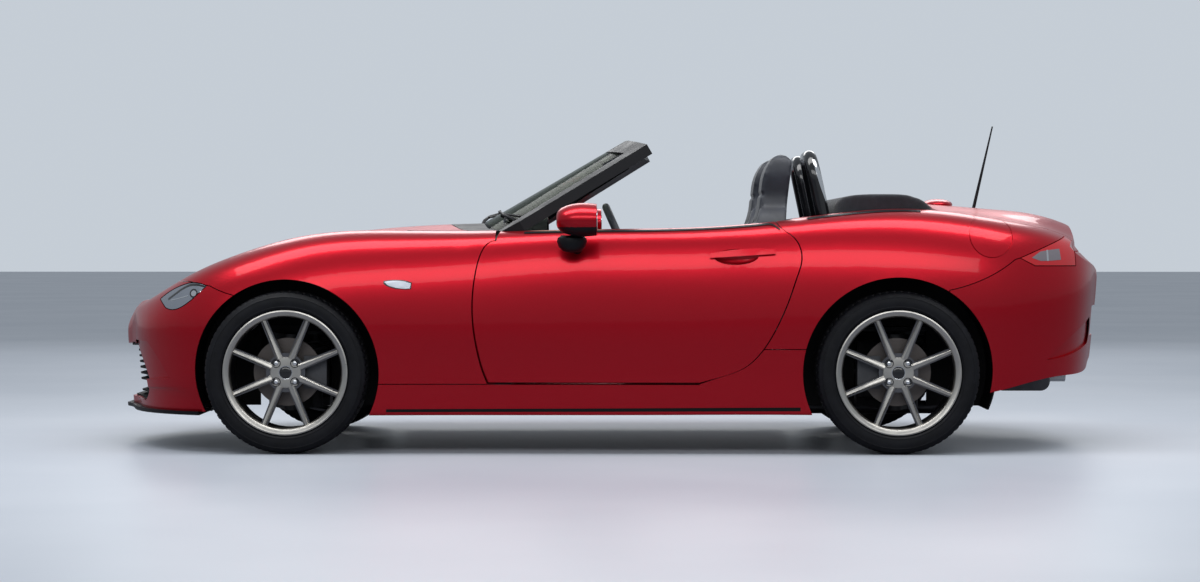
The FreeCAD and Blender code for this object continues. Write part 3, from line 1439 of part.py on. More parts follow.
def wheel_body(label):
    """Light-alloy wheel: hub, slim spokes in pairs between the nuts, and the rim."""
    body = doc.addObject("PartDesign::Body", label)
    body.AllowCompound = True
    face = "-Sizes.hub_face - Sizes.hub_pad_depth"
    mount = "-Sizes.hub_face"
    revolved(body, label + "_hub", (
        ("0", face), ("Sizes.hub_pad_radius", face), ("Sizes.hub_pad_radius", mount),
        ("Sizes.centre_bore_radius", mount),
        ("Sizes.centre_bore_radius", mount + " - Sizes.hub_pad_depth / 2"),
        ("0", mount + " - Sizes.hub_pad_depth / 2"),
    ))
    half = "Sizes.rim_width / 2"
    lip = "Sizes.rim_radius + Sizes.rim_lip"
    wall = "Sizes.rim_radius - Sizes.rim_wall"
    spoke = outline_sketch(body, label + "_spoke_outline", "XZ_Plane", (
        ("-Sizes.spoke_root_width / 2", "Sizes.spoke_root_radius"),
        ("-Sizes.spoke_width / 2", "Sizes.rim_radius - Sizes.rim_wall / 2"),
        ("Sizes.spoke_width / 2", "Sizes.rim_radius - Sizes.rim_wall / 2"),
        ("Sizes.spoke_root_width / 2", "Sizes.spoke_root_radius"),
    ))
    turn = FreeCAD.Rotation(Z_AXIS, 180 / size("spoke_count"))
    spoke.AttachmentOffset = FreeCAD.Placement(V(0, 0, size("hub_face")), turn)
    pad = body.newObject("PartDesign::Pad", label + "_spoke")
    pad.Profile = spoke
    pad.setExpression("Length", "Sizes.spoke_depth")
    doc.recompute()
    patterned(body, label + "_spokes", pad, spoke, "Sizes.spoke_count")
    revolved(body, label + "_rim", (
        (lip, "-" + half), (lip, "-" + half + " + Sizes.rim_wall"),
        ("Sizes.rim_radius", "-" + half + " + Sizes.rim_wall"),
        ("Sizes.rim_radius", half + " - Sizes.rim_wall"),
        (lip, half + " - Sizes.rim_wall"), (lip, half),
        (lip + " - Sizes.rim_wall", half),
        (wall, half + " - 2 * Sizes.rim_wall"), (wall, "-" + half + " + 2 * Sizes.rim_wall"),
        (lip + " - Sizes.rim_wall", "-" + half),
    ))
    nuts = body.newObject("Sketcher::SketchObject", label + "_nut_outline")
    nuts.AttachmentSupport = [(origin_plane(body, "XZ_Plane"), "")]
    nuts.MapMode = "FlatFace"
    nuts.AttachmentOffset = FreeCAD.Placement(V(0, 0, size("hub_face")),
                                              FreeCAD.Rotation(Z_AXIS, 180 / size("lug_count")))
    nuts.addGeometry(Part.Circle(V(0, size("lug_circle_radius"), 0), Z_AXIS,
                                 size("lug_hole_radius")))
    nuts.addConstraint(Sketcher.Constraint("PointOnObject", 0, 3, -2))
    held = nuts.addConstraint(Sketcher.Constraint("DistanceY", -1, 1, 0, 3,
                                                  size("lug_circle_radius")))
    nuts.setExpression("Constraints[%d]" % held, "Sizes.lug_circle_radius")
    held = nuts.addConstraint(Sketcher.Constraint("Radius", 0, size("lug_hole_radius")))
    nuts.setExpression("Constraints[%d]" % held, "Sizes.lug_hole_radius")
    pocket = body.newObject("PartDesign::Pocket", label + "_nut_hole")
    pocket.Profile = nuts
    pocket.Type = "ThroughAll"
    pocket.Midplane = True
    doc.recompute()
    patterned(body, label + "_nut_holes", pocket, nuts, "Sizes.lug_count")
    return body


def tyre_body(label):
    """Tyre: bead, bulged side walls, rounded shoulders and flat crown."""
    body = doc.addObject("PartDesign::Body", label)
    bead = "Sizes.rim_radius + Sizes.seat_gap"
    half = "Sizes.tyre_width / 2"
    foot = "Sizes.rim_width / 2 - Sizes.rim_wall - Sizes.seat_gap"
    shoulder = "Sizes.tyre_radius - Sizes.tyre_shoulder"
    left = [
        (bead, "-(%s)" % foot),
        ("%s + Sizes.rim_lip" % bead, "-(%s)" % foot),
        ("%s - Sizes.tyre_shoulder" % shoulder, "-" + half),
        (shoulder, "-%s + Sizes.tyre_shoulder / 8" % half),
        ("Sizes.tyre_radius - Sizes.tyre_shoulder / 3", "-%s + Sizes.tyre_shoulder / 2" % half),
        ("Sizes.tyre_radius", "-%s + Sizes.tyre_crown_edge" % half),
    ]
    right = [
        ("Sizes.tyre_radius", "%s - Sizes.tyre_crown_edge" % half),
        ("Sizes.tyre_radius - Sizes.tyre_shoulder / 3", "%s - Sizes.tyre_shoulder / 2" % half),
        (shoulder, "%s - Sizes.tyre_shoulder / 8" % half),
        ("%s - Sizes.tyre_shoulder" % shoulder, half),
        ("%s + Sizes.rim_lip" % bead, foot),
        (bead, foot),
    ]
    revolved(body, label + "_ring", left + right)
    return body


def disc_body(label):
    """Brake disc with its hat, bolted behind the wheel's mounting face."""
    body = doc.addObject("PartDesign::Body", label)
    bore = "Sizes.centre_bore_radius"
    face = "-Sizes.hub_face"
    back = "-Sizes.hub_face + Sizes.disc_hat_wall"
    outer = "-Sizes.hub_face + Sizes.disc_hat_depth"
    inner = outer + " + Sizes.disc_thickness"
    revolved(body, label + "_ring", (
        (bore, face), ("Sizes.disc_hat_radius", face), ("Sizes.disc_hat_radius", outer),
        ("Sizes.disc_radius", outer), ("Sizes.disc_radius", inner),
        ("Sizes.disc_hat_radius - Sizes.disc_hat_wall", inner),
        ("Sizes.disc_hat_radius - Sizes.disc_hat_wall", back), (bore, back),
    ))
    return body


def upright(caliper_side, steered):
    """Left upright about the wheel centre: spindle, caliper and ball pins."""
    half = size("upright_width") / 2
    inner_face = -size("hub_face") + size("disc_hat_depth") + size("disc_thickness")
    start = inner_face + size("disc_clearance")
    end = start + size("upright_depth")
    block = size("pin_block")
    low = -size("ball_low")
    high = low + size("ball_spread")
    plate = box_between(-half, half, start, end, low + block + SEAT, high - block - SEAT)
    spindle_end = -size("hub_face") - size("hub_pad_depth") / 2 + size("disc_clearance")
    spindle = Part.makeCylinder(size("spindle_radius"), start - spindle_end,
                                V(0, spindle_end, 0), Y_AXIS)
    collar = Part.makeCylinder(size("collar_radius"), end - start, V(0, start, 0), Y_AXIS)
    radius = size("disc_radius")
    reach = radius + size("caliper_lip")
    room = size("disc_clearance")
    half_high = size("caliper_height") / 2
    inner_x = caliper_side * (reach - size("caliper_length"))
    caliper = box_between(min(caliper_side * reach, inner_x), max(caliper_side * reach, inner_x),
                          -size("hub_face") + room, end, -half_high, half_high)
    foot_high = half_high - size("caliper_lip")
    bracket = box_between(min(0, caliper_side * reach), max(0, caliper_side * reach),
                          start, end, -foot_high, foot_high)
    slot = Part.makeCylinder(radius + room, size("disc_thickness") + 2 * room,
                             V(0, inner_face - size("disc_thickness") - room, 0), Y_AXIS)
    hat = Part.makeCylinder(size("disc_hat_radius") + room, 2 * size("hub_face"),
                            V(0, -2 * size("hub_face"), 0), Y_AXIS)
    solid = caliper.fuse(bracket).cut([slot, hat])
    solid = solid.fuse([plate, collar, spindle])
    pin_y = size("kingpin_set_in")
    for arm_low, pin_low in ((low + block + SEAT, low), (high - 2 * block - SEAT, high - 2 * block)):
        arm = box_between(-half / 2, half / 2, start, pin_y, arm_low, arm_low + block)
        boss = Part.makeCylinder(half / 2, block, V(0, pin_y, arm_low), Z_AXIS)
        pin = Part.makeCylinder(size("kingpin_radius"), 2 * block, V(0, pin_y, pin_low), Z_AXIS)
        solid = solid.fuse([arm, boss, pin])
    if steered:
        arm = box_between(-size("steering_arm"), 0, start, end + size("kingpin_radius"),
                          -size("steering_arm_drop") - size("pin_block"),
                          -size("steering_arm_drop"))
        solid = solid.fuse(arm)
    return solid.removeSplitter()


WHEELS = (
    ("fl", FRONT_AXLE, -size("track_front") / 2, 0),
    ("fr", FRONT_AXLE, size("track_front") / 2, 180),
    ("rl", REAR_AXLE, -size("track_rear") / 2, 0),
    ("rr", REAR_AXLE, size("track_rear") / 2, 180),
)


def running_gear():
    """Four wheels with tyres and discs, and what they turn on."""
    for corner, axle_x, y, turn in WHEELS:
        place = FreeCAD.Placement(V(axle_x, y, HUB_UP), FreeCAD.Rotation(Z_AXIS, turn))
        for maker, kind in ((wheel_body, "wheel"), (tyre_body, "tyre"), (disc_body, "disc")):
            body = maker("%s_%s" % (kind, corner))
            body.Placement = place
            PARTS.append(body)
    front = upright(1, True)
    front.translate(V(FRONT_AXLE, -size("track_front") / 2, HUB_UP))
    add_part("knuckle_l", front)
    add_part("knuckle_r", mirrored(front))
    rear = upright(-1, False)
    rear.translate(V(REAR_AXLE, -size("track_rear") / 2, HUB_UP))
    add_part("rear_uprights", both_sides(rear))


running_gear()


def suspension(axle_x, track):
    """Left control arms, spring and damper of one axle, hung from its crossmember."""
    half = size("crossmember_width") / 2
    inner = -size("crossmember_half")
    eye_y = -track / 2 + size("kingpin_set_in")
    thick = size("arm_thick")
    low = HUB_UP - size("ball_low")
    high = low + size("ball_spread") - size("pin_block")
    solids = []
    for z in (low, high):
        eye_room = Part.makeCylinder(size("kingpin_radius") + SEAT, 2 * thick,
                                     V(axle_x, eye_y, z - thick / 2), Z_AXIS)
        eye = Part.makeCylinder(size("kingpin_radius") + thick / 3, size("pin_block"),
                                V(axle_x, eye_y, z), Z_AXIS)
        points = [V(axle_x - thick / 2, eye_y, z), V(axle_x - half, inner, z),
                  V(axle_x + half, inner, z), V(axle_x + thick / 2, eye_y, z)]
        plate = Part.Face(Part.makePolygon(points + points[:1]))
        plate = plate.extrude(V(0, 0, size("pin_block")))
        window = [V(axle_x, (eye_y + inner) / 2, z - thick), V(axle_x - half + thick, inner, z - thick),
                  V(axle_x + half - thick, inner, z - thick)]
        hole = Part.Face(Part.makePolygon(window + window[:1])).extrude(V(0, 0, 3 * thick))
        solids.append(eye.fuse(plate.cut(hole)).cut(eye_room))
    return solids


def axle_set(label, axle_x, track):
    """Crossmember with both sides' arms."""
    half = size("crossmember_width") / 2
    wide = size("crossmember_half") + SEAT
    low = HUB_UP - size("ball_low")
    high = size("frame_rail_up") - SEAT
    beam = box_between(axle_x - half, axle_x + half, -wide, wide, low,
                       low + size("crossmember_height"))
    tower = box_between(axle_x - half, axle_x + half, -wide, -wide + size("frame_rail_width") / 2,
                        low, high)
    parts = [tower, mirrored(tower)]
    for arm in suspension(axle_x, track):
        parts += [arm, mirrored(arm)]
    room = Part.makeCylinder(size("shaft_room"), 4 * wide, V(axle_x, -2 * wide, HUB_UP), Y_AXIS)
    damper = coil_damper(axle_x, high)
    solid = beam.fuse(parts).cut(room).fuse([damper, mirrored(damper)])
    add_part(label, solid)


def coil_damper(axle_x, high):
    """Left damper with its spring's seats, from the lower arm up to the frame."""
    foot = V(axle_x + size("damper_set_back"), -size("damper_out"), HUB_UP - size("ball_low"))
    body = Part.makeCylinder(size("damper_radius"), (high - foot.z) / 2, foot, Z_AXIS)
    rod = Part.makeCylinder(size("damper_radius") / 2, high - foot.z, foot, Z_AXIS)
    plate = size("pin_block") / 3
    seats = [Part.makeCylinder(size("spring_radius"), plate, V(foot.x, foot.y, z), Z_AXIS)
             for z in (foot.z + 2 * size("pin_block"), high - plate)]
    return body.fuse([rod] + seats)


axle_set("front_axle", FRONT_AXLE, size("track_front"))
axle_set("rear_axle", REAR_AXLE, size("track_rear"))


ENGINE_UP = HUB_UP - size("ball_low") + size("crossmember_height") + SEAT


def engine():
    """Engine as one plain block, and the gearbox and shaft behind it in the tunnel."""
    block = bound("Box", "engine_block", Length="Sizes.engine_length",
                  Width="Sizes.engine_width", Height="Sizes.engine_height")
    block.Placement.Base = V(NOSE + size("engine_from_nose"), -size("engine_width") / 2,
                             ENGINE_UP)
    block.Label = "engine_block"
    PARTS.append(block)
    rear = NOSE + size("engine_from_nose") + size("engine_length")
    centre = V(rear + SEAT, 0, size("shaft_up"))
    bell = Part.makeCone(size("bell_radius"), size("gearbox_radius"), size("bell_length"),
                         centre, X_AXIS)
    box_start = centre + V(size("bell_length"), 0, 0)
    case = Part.makeCylinder(size("gearbox_radius"), size("gearbox_length"), box_start, X_AXIS)
    shaft_start = box_start + V(size("gearbox_length"), 0, 0)
    end_x = REAR_AXLE - size("differential_radius") + OVER
    shaft = Part.makeCylinder(size("shaft_radius"), end_x - shaft_start.x, shaft_start, X_AXIS)
    add_part("gearbox", bell.fuse([case, shaft.cut(differential(SEAT))]).removeSplitter())
    reach = size("track_rear") / 2 + size("hub_face") - size("disc_hat_depth")
    reach -= size("disc_thickness") + size("disc_clearance") + size("upright_depth") + SEAT
    half_shafts = Part.makeCylinder(size("drive_shaft_radius"), 2 * reach,
                                    V(REAR_AXLE, -reach, HUB_UP), Y_AXIS)
    add_part("differential", differential().fuse(half_shafts).removeSplitter())


def differential(grow=0.0):
    """Final drive's housing between the rear wheels."""
    half = size("differential_width") / 2 + grow
    start = V(REAR_AXLE, -half, HUB_UP)
    drum = Part.makeCylinder(size("differential_radius") + grow, 2 * half, start, Y_AXIS)
    foot = box_between(REAR_AXLE - size("shaft_radius"), REAR_AXLE + size("shaft_radius"), -half,
                       half, ENGINE_UP, HUB_UP)
    return drum.fuse(foot)


def exhaust():
    """Exhaust pipe along the tunnel, the silencer and twin tailpipes on the right."""
    pipe = size("exhaust_radius")
    y = size("exhaust_out")
    z = FLOOR - pipe - SEAT
    start_x = NOSE + size("engine_from_nose") + size("engine_length") / 2
    end_x = TAIL - size("silencer_from_tail") - size("silencer_length")
    low = size("silencer_low")
    middle_z = low + size("silencer_height") / 2
    knee = V(end_x - size("exhaust_rise_length"), y, z)
    inlet_end = V(end_x + pipe, y, middle_z)
    run = Part.makeCylinder(pipe, knee.x - start_x, V(start_x, y, z), X_AXIS)
    rise = Part.makeCylinder(pipe, (inlet_end - knee).Length, knee, inlet_end - knee)
    bend = Part.makeSphere(pipe, knee)
    silencer = box_between(end_x, end_x + size("silencer_length"), y - pipe,
                           y + size("silencer_width"), low, low + size("silencer_height"))
    round_edges = [edge for edge in silencer.Edges if edge.BoundBox.XLength < SEAT]
    silencer = silencer.makeFillet(size("silencer_corner"), round_edges)
    riser = Part.makeCylinder(pipe, ENGINE_UP - SEAT - z, V(start_x, y, z), Z_AXIS)
    middle = end_x + size("silencer_length") / 2
    strap = box_between(middle - pipe / 2, middle + pipe / 2, y + size("silencer_width") / 3,
                        y + size("silencer_width") * 2 / 3, middle_z,
                        size("boot_floor_up") - SEAT)
    tips = []
    for step in tip_shares:
        start = V(end_x + size("silencer_length"), y + step * size("silencer_width"), middle_z)
        reach = size("silencer_from_tail") - size("tip_set_in")
        outer = Part.makeCylinder(size("tailpipe_radius"), reach, start, X_AXIS)
        bore = Part.makeCylinder(size("tailpipe_radius") - size("liner_wall") / 2, reach,
                                 start + V(OVER, 0, 0), X_AXIS)
        tips.append(outer.cut(bore))
    add_part("exhaust", run.fuse([rise, bend, silencer, riser, strap] + tips))


tip_shares = (0.45, 0.72)


def door_mirror():
    """Left door mirror: a rounded cup on a short foot that stands on the door's top."""
    middle = V(NOSE + size("mirror_from_nose"), -size("mirror_out"), size("mirror_up"))
    long = size("mirror_length")
    rings = []
    for back, grow in mirror_section_shares:
        across = size("mirror_width") / 2 * grow
        ring = Part.Wire([Part.Ellipse(ORIGIN, across, size("mirror_height") / 2 * grow).toShape()])
        ring.rotate(ORIGIN, Y_AXIS, 90)
        ring.rotate(ORIGIN, X_AXIS, 90)
        ring.translate(middle + X_AXIS * (back * long - long / 2))
        rings.append(ring)
    cup = Part.makeLoft(rings, True, False)
    root = V(middle.x, -CABIN_HALF - size("mirror_foot_in"), middle.z - size("mirror_height"))
    foot = Part.makeCylinder(size("mirror_foot_radius"), (middle - root).Length, root, middle - root)
    return biggest(cup.fuse(foot).cut(OUTER))


mirror_section_shares = ((0.0, 0.30), (0.08, 0.62), (0.3, 0.88), (0.7, 1.0), (1.0, 0.94))


def antenna():
    """Rod antenna on the right rear shoulder, leaning back."""
    foot = V(NOSE + size("antenna_from_nose"), size("antenna_out"), size("antenna_foot_up"))
    lean = V(size("antenna_lean"), 0, size("antenna_length")).normalize()
    rod = Part.makeCone(size("antenna_foot_radius"), size("antenna_tip_radius"),
                        size("antenna_length"), foot, lean)
    base = Part.makeCylinder(2 * size("antenna_foot_radius"), 2 * OVER, foot - Z_AXIS * OVER,
                             Z_AXIS)
    return base.cut(OUTER).fuse(rod.cut(OUTER))


engine()
exhaust()
add_part("antenna", biggest(antenna()))
mirror = door_mirror()
add_part("mirror_l", mirror)
add_part("mirror_r", mirrored(mirror))


def check_document():
    """Stop on any failed object or unusable shape."""
    doc.recompute()
    for item in doc.Objects:
        if "Invalid" in item.State or "Error" in item.State:
            raise RuntimeError("failed object: " + item.Label)
    for feature in PARTS:
        shape = feature.Shape
        if shape.isNull() or not shape.isValid():
            raise RuntimeError("unusable shape: " + feature.Label)


check_document()
os.makedirs("parts", exist_ok=True)
for feature in PARTS:
    feature.Shape.exportStep("parts/%s.step" % feature.Label)
    box = feature.Shape.BoundBox
    print("%-18s %d solids %9.1f cm3  X %.0f..%.0f  Y %.0f..%.0f  Z %.0f..%.0f" % (
        feature.Label, len(feature.Shape.Solids), feature.Shape.Volume / 1000,
        box.XMin, box.XMax, box.YMin, box.YMax, box.ZMin, box.ZMax))
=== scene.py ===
import json
import math
import bpy
import bmesh
from mathutils import Matrix, Vector
from mathutils.bvhtree import BVHTree


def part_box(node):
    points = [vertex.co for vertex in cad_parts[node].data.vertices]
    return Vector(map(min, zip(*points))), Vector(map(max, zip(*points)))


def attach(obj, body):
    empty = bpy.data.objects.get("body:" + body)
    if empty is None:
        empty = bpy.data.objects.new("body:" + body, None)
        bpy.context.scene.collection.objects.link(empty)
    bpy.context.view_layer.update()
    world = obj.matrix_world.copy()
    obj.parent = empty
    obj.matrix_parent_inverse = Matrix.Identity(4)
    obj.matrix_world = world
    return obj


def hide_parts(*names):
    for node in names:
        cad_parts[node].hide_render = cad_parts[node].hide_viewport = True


# Two-seat open sports car: looks, trim, cabin, camera and light. The frame is in metres, with +X
# toward the tail and -Y to the left side. Shapes here are in millimetres until mm() or MM turns
# them into metres.

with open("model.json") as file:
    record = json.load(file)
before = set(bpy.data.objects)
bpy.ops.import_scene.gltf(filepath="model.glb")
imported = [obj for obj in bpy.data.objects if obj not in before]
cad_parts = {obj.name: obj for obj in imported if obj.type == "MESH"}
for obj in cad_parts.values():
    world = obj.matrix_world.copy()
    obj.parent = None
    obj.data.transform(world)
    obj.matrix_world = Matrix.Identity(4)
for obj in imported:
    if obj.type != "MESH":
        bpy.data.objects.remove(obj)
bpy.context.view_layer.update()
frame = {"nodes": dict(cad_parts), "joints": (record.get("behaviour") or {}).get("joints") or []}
NODES = frame["nodes"]
MM = 0.001
UP = (0, 0, 1)


def joint_place(name):
    """Point that a joint of the frame turns about."""
    joint = next(item for item in frame["joints"] if item["name"] == name)
    return Vector(joint["pos_m"])


WHEELS = {corner: joint_place("wheel_%s_turn" % corner) for corner in ("fl", "fr", "rl", "rr")}
HAND_WHEEL = joint_place("hand_wheel_turn")
HAND_WHEEL_AXIS = Vector((0.9135, 0, 0.4067))
SIDES = (("l", -1, "left"), ("r", 1, "right"))
DOOR_BODY = {"l": "door_left", "r": "door_right"}


def outward(corner):
    """Side of the car that a wheel is on: -1 for left, 1 for right."""
    return -1 if corner[1] == "l" else 1


# Materials, each with its grain, wear or flake from nodes


SCREEN_FULL = 255
SRGB_KNEE = 0.04045
SRGB_SLOPE = 12.92
SRGB_SHIFT = 0.055
SRGB_POWER = 2.4
NOISE_BAND = (0.3, 0.7)
RAMP_BAND = (0.35, 0.65)
WEAVE_TURN = (0, 0, 0.785)
PLASTIC_DRIFT = 0.06
POLISH_BELOW = 0.07
POLISH_ABOVE = 0.08


def linear(red, green, blue):
    """Colour written as on a screen, 0 to 255, turned into the renderer's numbers."""
    def one(value):
        share = value / SCREEN_FULL
        if share <= SRGB_KNEE:
            return share / SRGB_SLOPE
        return ((share + SRGB_SHIFT) / (1 + SRGB_SHIFT)) ** SRGB_POWER
    return (one(red), one(green), one(blue), 1.0)


class Finish:
    """A material under construction: the shader and short ways to add nodes to it."""

    def __init__(self, name, colour, roughness, metallic=0.0):
        self.material = bpy.data.materials.new(name)
        self.material.use_nodes = True
        self.tree = self.material.node_tree
        self.shader = self.tree.nodes["Principled BSDF"]
        self.set("Base Color", colour).set("Roughness", roughness).set("Metallic", metallic)
        self.material.diffuse_color = colour

    def set(self, name, value):
        """One socket of the shader, as a plain value."""
        self.shader.inputs[name].default_value = value
        return self

    def add(self, kind, **settings):
        """A node with its settings."""
        node = self.tree.nodes.new(kind)
        for key, value in settings.items():
            setattr(node, key, value)
        return node

    def link(self, source, output, target, socket):
        """Join one node's output to another's input."""
        self.tree.links.new(source.outputs[output], target.inputs[socket])

    def texture(self, kind, scale, shift=(0, 0, 0), turn=(0, 0, 0), **settings):
        """Texture node on coordinates fixed to the object, moved and turned."""
        coordinate = self.add("ShaderNodeTexCoord")
        mapping = self.add("ShaderNodeMapping")
        mapping.inputs["Location"].default_value = shift
        mapping.inputs["Rotation"].default_value = turn
        self.link(coordinate, "Object", mapping, "Vector")
        node = self.add(kind, **settings)
        node.inputs["Scale"].default_value = scale
        self.link(mapping, "Vector", node, "Vector")
        return node

    def noise(self, scale, detail):
        """Noise of so many waves a metre."""
        node = self.texture("ShaderNodeTexNoise", scale)
        node.inputs["Detail"].default_value = detail
        return node

    def vary(self, first, second, scale, detail=3.0):
        """Base colour that drifts between two colours."""
        ramp = self.add("ShaderNodeValToRGB")
        for index, colour in enumerate((first, second)):
            ramp.color_ramp.elements[index].position = RAMP_BAND[index]
            ramp.color_ramp.elements[index].color = colour
        self.link(self.noise(scale, detail), "Fac", ramp, "Fac")
        self.link(ramp, "Color", self.shader, "Base Color")
        return self

    def wear(self, low, high, scale):
        """Roughness that drifts from low to high over the surface."""
        mapped = self.add("ShaderNodeMapRange")
        for socket, value in zip(("From Min", "From Max", "To Min", "To Max"),
                                 (*NOISE_BAND, low, high)):
            mapped.inputs[socket].default_value = value
        self.link(self.noise(scale, detail=4.0), "Fac", mapped, "Value")
        self.link(mapped, "Result", self.shader, "Roughness")
        return self

    def bump(self, node, output, strength, depth):
        """Relief from a node, added to any relief that is there."""
        relief = self.add("ShaderNodeBump")
        relief.inputs["Strength"].default_value = strength
        relief.inputs["Distance"].default_value = depth
        self.link(node, output, relief, "Height")
        old = self.shader.inputs["Normal"].links
        if old:
            self.tree.links.new(old[0].from_socket, relief.inputs["Normal"])
        self.link(relief, "Normal", self.shader, "Normal")
        return self

    def grain(self, scale, strength, depth):
        """Moulded or rolled grain."""
        return self.bump(self.noise(scale, detail=2.0), "Fac", strength, depth)

    def cells(self, scale, strength, depth):
        """Pebbled grain, as on leather."""
        voronoi = self.texture("ShaderNodeTexVoronoi", scale)
        return self.bump(voronoi, "Distance", strength, depth)

    def weave(self, scale, strength, depth):
        """Crossed threads."""
        for direction in ("X", "Y"):
            wave = self.texture("ShaderNodeTexWave", scale, turn=WEAVE_TURN, wave_type="BANDS",
                                bands_direction=direction)
            self.bump(wave, "Fac", strength, depth)
        return self

    def rings(self, centre, scale, strength, depth):
        """Turned rings about an axle, along Y."""
        wave = self.texture("ShaderNodeTexWave", scale, shift=(-centre.x, 0, -centre.z),
                            wave_type="RINGS", rings_direction="Y")
        return self.bump(wave, "Fac", strength, depth)


def paint_finish():
    """Deep metallic red under clear coat, with fine flake."""
    finish = Finish("red_paint", linear(190, 0, 27), roughness=0.3, metallic=0.78)
    finish.vary(linear(182, 0, 23), linear(198, 1, 33), scale=900)
    finish.set("Coat Weight", 0.35).set("Coat Roughness", 0.05)
    return finish.grain(scale=1600, strength=0.03, depth=0.0004).material


def plastic_finish(name, colour, roughness, scale=700):
    """Moulded plastic with a fine grain."""
    finish = Finish(name, colour, roughness)
    finish.wear(roughness - PLASTIC_DRIFT, roughness + PLASTIC_DRIFT, scale=9)
    finish.set("Specular IOR Level", 0.25)
    return finish.grain(scale, strength=0.25, depth=0.0006).material


def gloss_finish(name, colour):
    """Smooth gloss plastic, slightly wavy."""
    finish = Finish(name, colour, roughness=0.16)
    finish.wear(low=0.12, high=0.2, scale=14)
    finish.set("Coat Weight", 0.6)
    return finish.grain(scale=60, strength=0.02, depth=0.001).material


def leather_finish(name, colour, other):
    """Pebbled leather with a soft sheen and slight colour drift."""
    finish = Finish(name, colour, roughness=0.5)
    finish.vary(colour, other, scale=12)
    finish.wear(low=0.42, high=0.58, scale=18)
    finish.set("Sheen Weight", 0.15)
    return finish.cells(scale=520, strength=0.25, depth=0.0008).material


def cloth_finish(name, colour, other, scale=500):
    """Woven cloth or carpet."""
    finish = Finish(name, colour, roughness=0.85)
    finish.vary(colour, other, scale=40)
    finish.set("Sheen Weight", 0.3)
    return finish.weave(scale, strength=0.35, depth=0.0006).material


def metal_finish(name, colour, roughness, scale=120, strength=0.08):
    """Metal with a drifting polish."""
    finish = Finish(name, colour, roughness, metallic=1.0)
    finish.wear(roughness - POLISH_BELOW, roughness + POLISH_ABOVE, scale=25)
    return finish.grain(scale, strength, depth=0.0008).material


def painted_steel_finish(name, colour, other):
    """Plain dark chassis paint with dust."""
    finish = Finish(name, colour, roughness=0.6)
    finish.vary(colour, other, scale=8, detail=6.0)
    return finish.grain(scale=220, strength=0.2, depth=0.001).material


def tyre_finish():
    """Black rubber."""
    finish = Finish("tyre_rubber", linear(16, 17, 21), roughness=0.55)
    finish.vary(linear(13, 14, 18), linear(20, 21, 26), scale=30)
    finish.set("Specular IOR Level", 0.22)
    return finish.grain(scale=500, strength=0.3, depth=0.0006).material


def disc_finish(name, centre):
    """Turned brake steel."""
    finish = Finish(name, linear(104, 98, 95), roughness=0.45, metallic=1.0)
    finish.wear(low=0.4, high=0.52, scale=30)
    return finish.rings(centre, scale=60, strength=0.3, depth=0.0005).material


def pane_finish():
    """Thin tinted glass, its polish drifting faintly."""
    finish = Finish("windscreen_pane", linear(138, 146, 132), roughness=0.0)
    finish.set("Transmission Weight", 1.0).set("IOR", 1.02).set("Specular IOR Level", 0.2)
    return finish.wear(low=0.0, high=0.01, scale=5).material


def lamp_finish(name, colour, painted_glow):
    """Coloured lamp cover with a faint painted glow, brighter than the light that falls on it
    makes it.
    """
    finish = Finish(name, colour, roughness=0.14)
    finish.wear(low=0.1, high=0.18, scale=20)
    finish.set("Coat Weight", 0.7).set("Emission Color", colour).set("Emission Strength", painted_glow)
    return finish.grain(scale=90, strength=0.05, depth=0.001).material


PAINT = paint_finish()
GLOSS_BLACK = gloss_finish("gloss_black", linear(14, 15, 18))
SATIN_BLACK = plastic_finish("satin_black", linear(13, 14, 19), roughness=0.46)
ROUGH_BLACK = plastic_finish("rough_black", linear(12, 12, 14), roughness=0.6, scale=350)
CABIN_PLASTIC = plastic_finish("cabin_plastic", linear(38, 41, 48), roughness=0.55, scale=420)
CARPET = cloth_finish("floor_carpet", linear(30, 32, 36), linear(42, 44, 50), scale=900)
LEATHER = leather_finish("black_leather", linear(34, 37, 45), linear(46, 50, 60))
ROOF_CLOTH = cloth_finish("roof_cloth", linear(22, 25, 33), linear(30, 33, 42))
CHASSIS = painted_steel_finish("chassis_black", linear(38, 39, 41), linear(60, 60, 62))
CAST_IRON = metal_finish("cast_iron", linear(92, 93, 96), 0.62, scale=300, strength=0.3)
CAST_ALLOY = metal_finish("cast_alloy", linear(168, 170, 174), 0.5, scale=260, strength=0.25)
PIPE_STEEL = metal_finish("pipe_steel", linear(84, 84, 88), roughness=0.42)
WHEEL_ALLOY = metal_finish("wheel_alloy", linear(108, 108, 112), 0.34, scale=40, strength=0.03)
# Lighter copy of the wheel alloy with the same roughness: a painted highlight on the rim flange,
# spoke ridges and hub face.
WHEEL_HIGHLIGHT = metal_finish("wheel_painted_highlight", linear(190, 187, 181), 0.34, scale=3, strength=0.0)
CHROME = metal_finish("bright_chrome", linear(225, 227, 230), 0.1, scale=20, strength=0.01)
TYRE = tyre_finish()
PANE = pane_finish()
# Tail lamp red with a faint painted glow that makes the red cover brighter.
LAMP_RED = lamp_finish("lamp_red", linear(176, 4, 18), painted_glow=0.12)
LAMP_GREY = gloss_finish("lamp_grey", linear(118, 112, 118))
LAMP_SILVER = metal_finish("lamp_silver", linear(176, 181, 190), 0.3, scale=30, strength=0.01)
MIRROR_GLASS = metal_finish("mirror_glass", linear(190, 198, 208), 0.04, scale=12,
                            strength=0.005)

